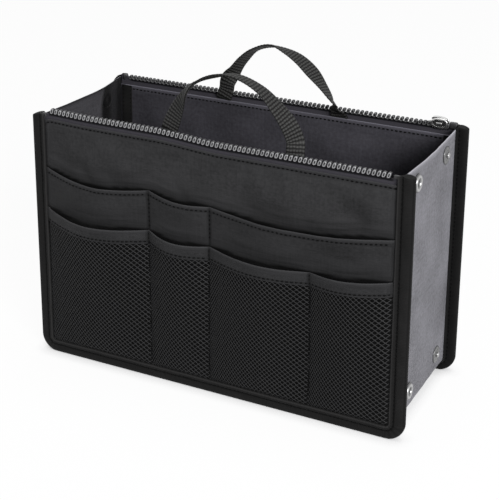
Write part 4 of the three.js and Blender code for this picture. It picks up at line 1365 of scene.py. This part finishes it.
# The mark adds painted light and shade: lightest at the edges of the openings, darker on the outer side,
# darkest on the inner side
net_tone = net_fibre * 0.5 + net_cloud * 0.35 + net_marks[2] * 0.3
net_colour = mixed(net_tone, (0.002, 0.002, 0.0023, 1), (0.0215, 0.0215, 0.0226, 1))
net_relief = (0.5, 0.00012, net_fibre)
set_shader(net_tree, net_colour, 0.5 + net_cloud * 0.2, net_relief, {"Specular IOR Level": 0.3})


def net_face(x, height):
    """Depth of the outer side of the net where it hangs free."""
    share = clamped((height - strip_inset) / (netted_top - strip_inset))
    rise = swell(x, net_seams(max(height, strip_inset)))
    slack = 0.5 * crumple(x, 0.8 * height, 24, 9.3)
    behind = upper_face(x, height) - strip_thickness - strip_gap
    loose = behind - (net_bulge + slack) * rise * share**net_fullness
    return tucked(x, height, loose, net_tuck_depth)


def net_band_edge(x):
    return net_edge(x) - net_band_height


# Cells across each pocket; they are gathered closer towards its left seam
net_stops = [-net_half, left_divider, middle_divider, right_divider, net_half]
net_starts = [0]
for low, high in zip(net_stops, net_stops[1:]):
    net_starts.append(net_starts[-1] + round(net_excess * (high - low) / net_cell_width))
net_columns = net_starts[-1]
net_rows = round((netted_top - net_band_height - strip_tuck) / net_cell_height)
net_gather = 0.55
ring_steps = 3
strand_rings = [(0.0, 1.0), (0.5, 0.82), (1.0, 0.0)]


def net_across(u, half):
    """The place across of a number of cells, on a net that reaches to both sides by half."""
    k = sum(u > start for start in net_starts[1:-1])
    share = (u - net_starts[k]) / (net_starts[k + 1] - net_starts[k])
    share = net_gather * share + (1 - net_gather) * share * share
    stops = [-half] + net_stops[1:-1] + [half]
    return stops[k] + (stops[k + 1] - stops[k]) * share


def net_point(u, v):
    """The place on the net of a point in cell widths and heights."""
    flat = net_across(u, net_half)
    top = net_band_edge(flat) + 1.5
    height = strip_tuck + (top - strip_tuck) * v / net_rows
    return net_across(u, sheet_half(height, strip_tuck)), height


def net_cell(u, v):
    """The rim of one diamond and its rounded opening, as pairs of points in cells."""
    corners = [(0.5, 0), (0, 0.5), (-0.5, 0), (0, -0.5)]
    pairs = []
    for (a, b), (c, d) in zip(corners, corners[1:] + corners[:1]):
        for step in range(ring_steps):
            share = step / ring_steps
            du, dv = a + (c - a) * share, b + (d - b) * share
            towards_corner = abs(2 * share - 1) ** 3
            opening = 0.82 - 0.05 * towards_corner
            pairs.append(((u + du, v + dv), (u + du * opening, v + dv * opening)))
    return pairs


centres = [(i + 0.5, j + 0.5) for i in range(net_columns) for j in range(net_rows)]
centres += [(i, j) for i in range(1, net_columns) for j in range(1, net_rows)]
points, faces, cloth = [], [], []
numbers = {}


def net_vertex(u, v, side, rise):
    """The number of a point on one side of the net, shared with the cells beside it."""
    key = (round(u, 4), round(v, 4), side)
    if key not in numbers:
        x, height = net_point(u, v)
        depth = net_face(x, height) + strip_thickness / 2 - side * rise
        numbers[key] = len(points)
        points.append((x, layer("front", depth), height))
        # Painted light and shade on the yarn: lightest at the edges of the openings, darker outside and
        # darkest inside
        cloth.append((x, height, 1.0 - abs(side) + 0.5 * (side > 0)))
    return numbers[key]


for u, v in centres:
    pairs = net_cell(u, v)
    for side in (1, -1):
        rings = []
        for share, lift in strand_rings:
            ring = []
            for (rim_u, rim_v), (hole_u, hole_v) in pairs:
                at_u, at_v = rim_u + (hole_u - rim_u) * share, rim_v + (hole_v - rim_v) * share
                ring.append(net_vertex(at_u, at_v, side if lift else 0, strand_half * lift))
            rings.append(ring)
        for inner_ring, outer_ring in zip(rings, rings[1:]):
            for k in range(len(pairs)):
                n = (k + 1) % len(pairs)
                faces.append((inner_ring[k], inner_ring[n], outer_ring[n], outer_ring[k]))
net_form = (points, faces, cloth)
net_sheet = sewn_piece("net_mesh", net_form, net_yarn, "front_panel", ["net_pocket"], crisp=80)
net_cut = (net_columns * net_cell_width / 1000, (netted_top - net_band_height) / 1000)
net_yarn_area = 0.5 * net_cut[0] * net_cut[1]

# The net band is a folded strip of the black nylon along the mouth of the net. The net's top edge lies
# inside the fold, and one row of stitches near its lower edge holds both.
band_thickness = 1.2
band_stitch_rise = 1.8


def band_face(x, height):
    """Depth of the band's outer face, a little fuller than the net inside it."""
    up = (height - net_band_edge(x)) / net_band_height
    fold = 0.3 * math.sin(math.pi * clamped(up)) ** 0.5
    groove = 0.25 * bell(height - net_band_edge(x) - band_stitch_rise, 0.8)
    return net_face(x, height) - 0.15 - fold + groove


def band_shade(x, height):
    sewn = 0.4 * bell(height - net_band_edge(x) - band_stitch_rise, 0.9)
    return max(sewn, beside_binding(x, height), seam_shade(x, net_seams(height)))


def band_stitch_line(x):
    return net_band_edge(x) + band_stitch_rise


band = strip_sheet(band_face, net_band_edge, net_edge, 26, 34, band_thickness, band_shade)
sewn_piece("net_band_cloth", band, pocket_nylon, "front_panel", ["net_pocket_band"])
band_lines = mouth_stitches(net_seams(netted_top), 0.02, band_stitch_line, band_face)
for x in (left_divider, middle_divider, right_divider):
    band_lines.append(upright_stitches(x, strip_inset + 1, net_edge(x) - 0.5, 60, net_face, 0.25))
sewn_line("net_pocket_stitches", band_lines, outwards["front"], "front_panel")

# The side gussets are single sheets of grey nylon between the panels, folded in along a middle crease. Their
# top edge has a narrow turned hem and hangs a little low in the middle, and the left one bows inwards.
gusset_bottom = corner_radius + 0.3
gusset_top = 194.5
gusset_inset = 7.0
gusset_thickness = 0.8
gusset_sag = {-1: 1.2, 1: 2.7}
front_hinge = front_face + 6.6
back_hinge = back_face - 6.6
crease = (front_hinge + back_hinge) / 2
bow_place = 0.72
bow_reach = {-1: 3.2, 1: 0.9}
painted_shade_start = 0.71
gusset_lining = woven_finish("gusset_lining", (0.07, 0.0685, 0.076), 0.0003, 0.55, 0.08, 1.0)


def gusset_share(y):
    """Share of the way across a gusset from the front panel to the back."""
    return (y - front_hinge) / (back_hinge - front_hinge)


def gusset_bow(side, y, height):
    """How far a gusset stands in from its flat place."""
    share = gusset_share(y)
    peak = bow_place if side < 0 else 0.5
    rise = share / peak if share < peak else (1 - share) / (1 - peak)
    rise = max(rise - 0.04 * bell(share - peak, 0.03), 0.0)
    lift = 0.15 + 0.85 * smooth(177 if side < 0 else 160, 197, height)
    edges = smooth(0.05, 0.2, share) * smooth(0.95, 0.8, share)
    slack = 0.5 * crumple(y, height, 28, 4 + side) + 0.25 * crumple(y, 0.6 * height, 11, 7 + side)
    return bow_reach[side] * max(rise, 0.0) * lift + slack * edges * smooth(25, 60, height)


def inner_shade(side, share):
    """Painted shade inside a gusset: the left one is painted dark along its back edge, a little lighter in
    the middle of that band.
    """
    if side > 0:
        return 0.0
    # How far into the band of painted shade along the back edge
    facing = smooth(painted_shade_start - 0.025, painted_shade_start + 0.025, share)
    return facing * (1.0 - 0.22 * bell(share - 0.88, 0.05))


def gusset_sheet(side, start, end, columns):
    """A closed sheet of one gusset between two places in Y."""
    levels = folded_rows(gusset_bottom, gusset_top, 90, gusset_thickness)
    places = spread(start, end, columns)

    def at(j, i):
        level, fold = levels[j]
        y = places[i]
        up = (level - gusset_bottom) / (gusset_top - gusset_bottom)
        share = gusset_share(y)
        height = level - gusset_sag[side] * math.sin(math.pi * clamped(share)) * up**6
        hem = 0.22 * smooth(6.6, 5.8, (1 - up) * (gusset_top - gusset_bottom)) * (1 - fold)
        middle = half_width(height) - gusset_inset - gusset_bow(side, y, height) - gusset_thickness / 2
        half = gusset_thickness / 2 * (1 - fold) + hem / 2
        outer, inner = (side * (middle + half), y, height), (side * (middle - half), y, height)
        painted_light = math.exp(-(gusset_top - level) / 0.8)
        # Outside, a painted highlight along the top fold; inside, darker along the top hem and with the
        # painted shade
        return outer, inner, (y, height, painted_light), (y, height, -max(painted_light**0.5, inner_shade(side, share)))

    return cloth_grid(len(levels), columns + 1, at)


seam_gap = 0.1
crease_blend = 2.5
right_form = gusset_sheet(1, front_hinge + seam_gap, back_hinge - seam_gap, 90)
nodes = ["right_gusset_front", "right_gusset_back"]
right_gusset = sewn_piece(
    "right_gusset_cloth", right_form, grey_nylon, None, nodes, lined=gusset_lining
)
crease_start, crease_end = ((0, (crease + reach) / 1000, 0) for reach in (-crease_blend, crease_blend))
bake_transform(right_gusset)
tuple(crease_start)
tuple(crease_end)
left_plane = (-(half_width(100) - gusset_inset) / 1000, 0, 0.1)
side_lean = math.atan(side_taper / panel_height)
for half, start, end in (("front", front_hinge + seam_gap, crease), ("back", crease, back_hinge - seam_gap)):
    left_half = sewn_piece(
        f"left_gusset_cloth_{half}", gusset_sheet(-1, start, end, 50), grey_nylon, f"left_gusset_{half}_half",
        [f"left_gusset_{half}"], lined=gusset_lining,
    )
    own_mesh(left_half)

# The snaps that hold the folded gussets together are pressed nickel: a ring-shaped socket on the front half,
# a stud on the back half and a low cap riveted behind each, covered with the lining inside.
snap_spread = 1.15
snap_offset = 30.0
snap_heights = {"lower": 25.0, "upper": 181.5}
socket_profile = [(0.0, 0.5), (1.6, 0.5), (2.3, 0.62), (2.75, 0.95), (2.95, 1.5), (3.2, 1.98), (3.7, 2.2)]
socket_profile += [(4.3, 2.18), (4.75, 1.95), (5.0, 1.5), (5.1, 1.05), (5.4, 0.85), (5.7, 0.6), (5.75, 0.3)]
socket_profile += [(5.6, 0.02), (0.0, 0.02)]
stud_profile = [(0.0, 2.68), (0.8, 2.68), (1.3, 2.58), (1.72, 2.3), (1.82, 1.95), (1.65, 1.6), (1.62, 1.25)]
stud_profile += [(1.9, 1.02), (2.6, 0.95), (3.4, 0.95), (3.9, 1.12), (4.6, 1.15), (5.2, 0.95), (5.6, 0.65)]
stud_profile += [(5.75, 0.3), (5.6, 0.02), (0.0, 0.02)]
cap_profile = [(0.0, 0.72), (1.8, 0.72), (2.2, 0.86), (3.2, 0.9), (4.2, 0.78), (5.0, 0.55), (5.6, 0.3)]
cap_profile += [(5.75, 0.12), (5.6, 0.02), (0.0, 0.02)]


def turned(profile, centre, axis, contrast=1.0, sides=48):
    """A turned form on an axis through its seat. Its marks are painted light: lighter the higher a point
    stands, with painted shade in the hollows and low parts.
    """
    up = Vector((0, 1, 0))
    across = axis.cross(up).normalized()
    rings = []
    for radius, rise in profile:
        ring = []
        for k in range(sides):
            angle = 2 * math.pi * k / sides
            offset = (up * math.cos(angle) + across * math.sin(angle)) * max(radius * snap_spread, 0.02)
            ring.append(centre + axis * rise + offset)
        rings.append(ring)
    points, faces = stacked_rings(rings)
    highest = max(rise for radius, rise in profile)
    lights = [(rise / highest) ** contrast for radius, rise in profile]
    return points, faces, [(p.y, p.z, lights[n // sides]) for n, p in enumerate(points)]


snap_metal, snap_tree = new_finish("snap_metal")
snap_place, snap_marks = cloth_place(snap_tree)
snap_cloud = grain(snap_tree, snap_place, 400.0, 3.0)
snap_shade = mixed(snap_cloud, (0.36, 0.36, 0.36, 1), (0.52, 0.52, 0.52, 1))
# Nearly black where painted shade lies in the hollows and low parts, and the metal's grey on the raised parts
snap_colour = mixed(snap_marks[2], (0.03, 0.03, 0.031, 1), snap_shade)
set_shader(snap_tree, snap_colour, 0.3 + snap_cloud * 0.14, (0.15, 0.00006, snap_cloud), {"Metallic": 0.9})
# Each half's form: its word, the way from the crease, its profile and the contrast of its painted light
snap_forms = {"front": ("socket", -1, socket_profile, 1.7), "back": ("stud", 1, stud_profile, 0.9)}
for side, word in both_sides:
    out = Vector((side * math.cos(side_lean), 0, math.sin(side_lean)))
    for half, (kind, towards, profile, contrast) in snap_forms.items():
        y = crease + towards * snap_offset
        shade = inner_shade(side, gusset_share(y))
        body = f"{word}_gusset_{half}_half"
        for level, height in snap_heights.items():
            stand = half_width(height) - gusset_inset - gusset_bow(side, y, height)
            seat = Vector((side * stand, y, height))
            node = f"{word}_{level}_{kind}"
            snap = turned(profile, seat, out, contrast)
            sewn_piece(f"{node}_ring", snap, snap_metal, body, [node], crisp=60)
            points, faces, marks = turned(cap_profile, seat - out * gusset_thickness, -out)
            # The cap, covered with the lining, carries the painted shade of the lining around it
            cap = (points, faces, [(across, up, -shade) for across, up, light in marks])
            sewn_piece(f"{node}_rivet", cap, gusset_lining, body, [f"{node}_cap"])

# The base is grey nylon in two halves that fold up along the middle, and a soft corner at each end bends
# from the base up into the gusset with small crumples in it. It rides on the front panel, so it does not
# crumple further when the insert is folded.
base_bottom = 7.0
base_half = half_width(base_bottom) - base_bottom
base_set = 18.0
crease_gap = 0.1
corner_gap = 0.15
fold_limit = math.radians(85.5)
fold_width = back_hinge - front_hinge
crease_half = base_half - base_set - fold_width / 2 * math.sin(fold_limit) - 0.6


def base_reach(y):
    """Half the length of the base at a place between a panel and the crease."""
    share = abs(y - crease) / (fold_width / 2)
    return crease_half + (base_half - base_set - crease_half) * share


def off_the_seams(y):
    """Nothing at the panels and one away from them."""
    return smooth(0, 9, y - front_hinge) * smooth(0, 9, back_hinge - y)


def base_at(rows, towards, j, i):
    y = rows[j]
    x = base_reach(y) * (2 * i / 120 - 1)
    z = base_bottom + 0.3 * off_the_seams(y) * smooth(0, 6, abs(y - crease)) * crumple(x, y, 24, 2.9)
    inner_y = y + towards * 0.95 * crease_gap * smooth(1.5, crease_gap, abs(y - crease))
    return (x, y, z), (x, inner_y, z + gusset_thickness), (x, y, 0.0)


for half, towards in (("front", 1), ("back", -1)):
    start = (front_hinge if half == "front" else back_hinge) + towards * seam_gap
    end = crease - towards * crease_gap
    base_form = cloth_grid(41, 121, partial(base_at, spread(start, end, 40), towards))
    base_cloth = sewn_piece(
        f"base_cloth_{half}", base_form, grey_nylon, f"base_{half}_half", [f"base_{half}"],
        lined=gusset_lining,
    )
    base_cut = (2 * (base_half - base_set) / 1000, fold_width / 2000)
    base_area = (base_half - base_set + crease_half) * fold_width / 2 / 1e6
turn_radius = corner_radius - gusset_inset
turn_x = half_width(corner_radius) - corner_radius
corner_rows = spread(front_hinge + seam_gap, back_hinge - seam_gap, 70)


def corner_at(side, j, i):
    """A soft corner runs flat from the end of the base and then turns up into the gusset."""
    y = corner_rows[j]
    near = base_reach(y) + corner_gap
    flat_run = turn_x - near
    travelled = (flat_run + turn_radius * math.pi / 2) * i / 60
    angle = max(travelled - flat_run, 0.0) / turn_radius
    x = min(near + travelled, turn_x) + turn_radius * math.sin(angle)
    z = corner_radius - turn_radius * math.cos(angle)
    out, up = -math.sin(angle), math.cos(angle)
    loose = off_the_seams(y) * smooth(0, 10, travelled)
    rise = 0.25 * loose * (1 + crumple(travelled, y, 15, 8 + side))
    thick = rise + gusset_thickness
    outer = (side * (x + out * rise), y, z + up * rise)
    return outer, (side * (x + out * thick), y, z + up * thick), (travelled, y, 0.0)


for side, word in both_sides:
    corner_form = cloth_grid(71, 61, partial(corner_at, side))
    corner_cloth = sewn_piece(
        f"corner_cloth_{word}", corner_form, grey_nylon, "front_panel", [f"base_corner_{word}"],
        lined=gusset_lining,
    )
    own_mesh(corner_cloth)
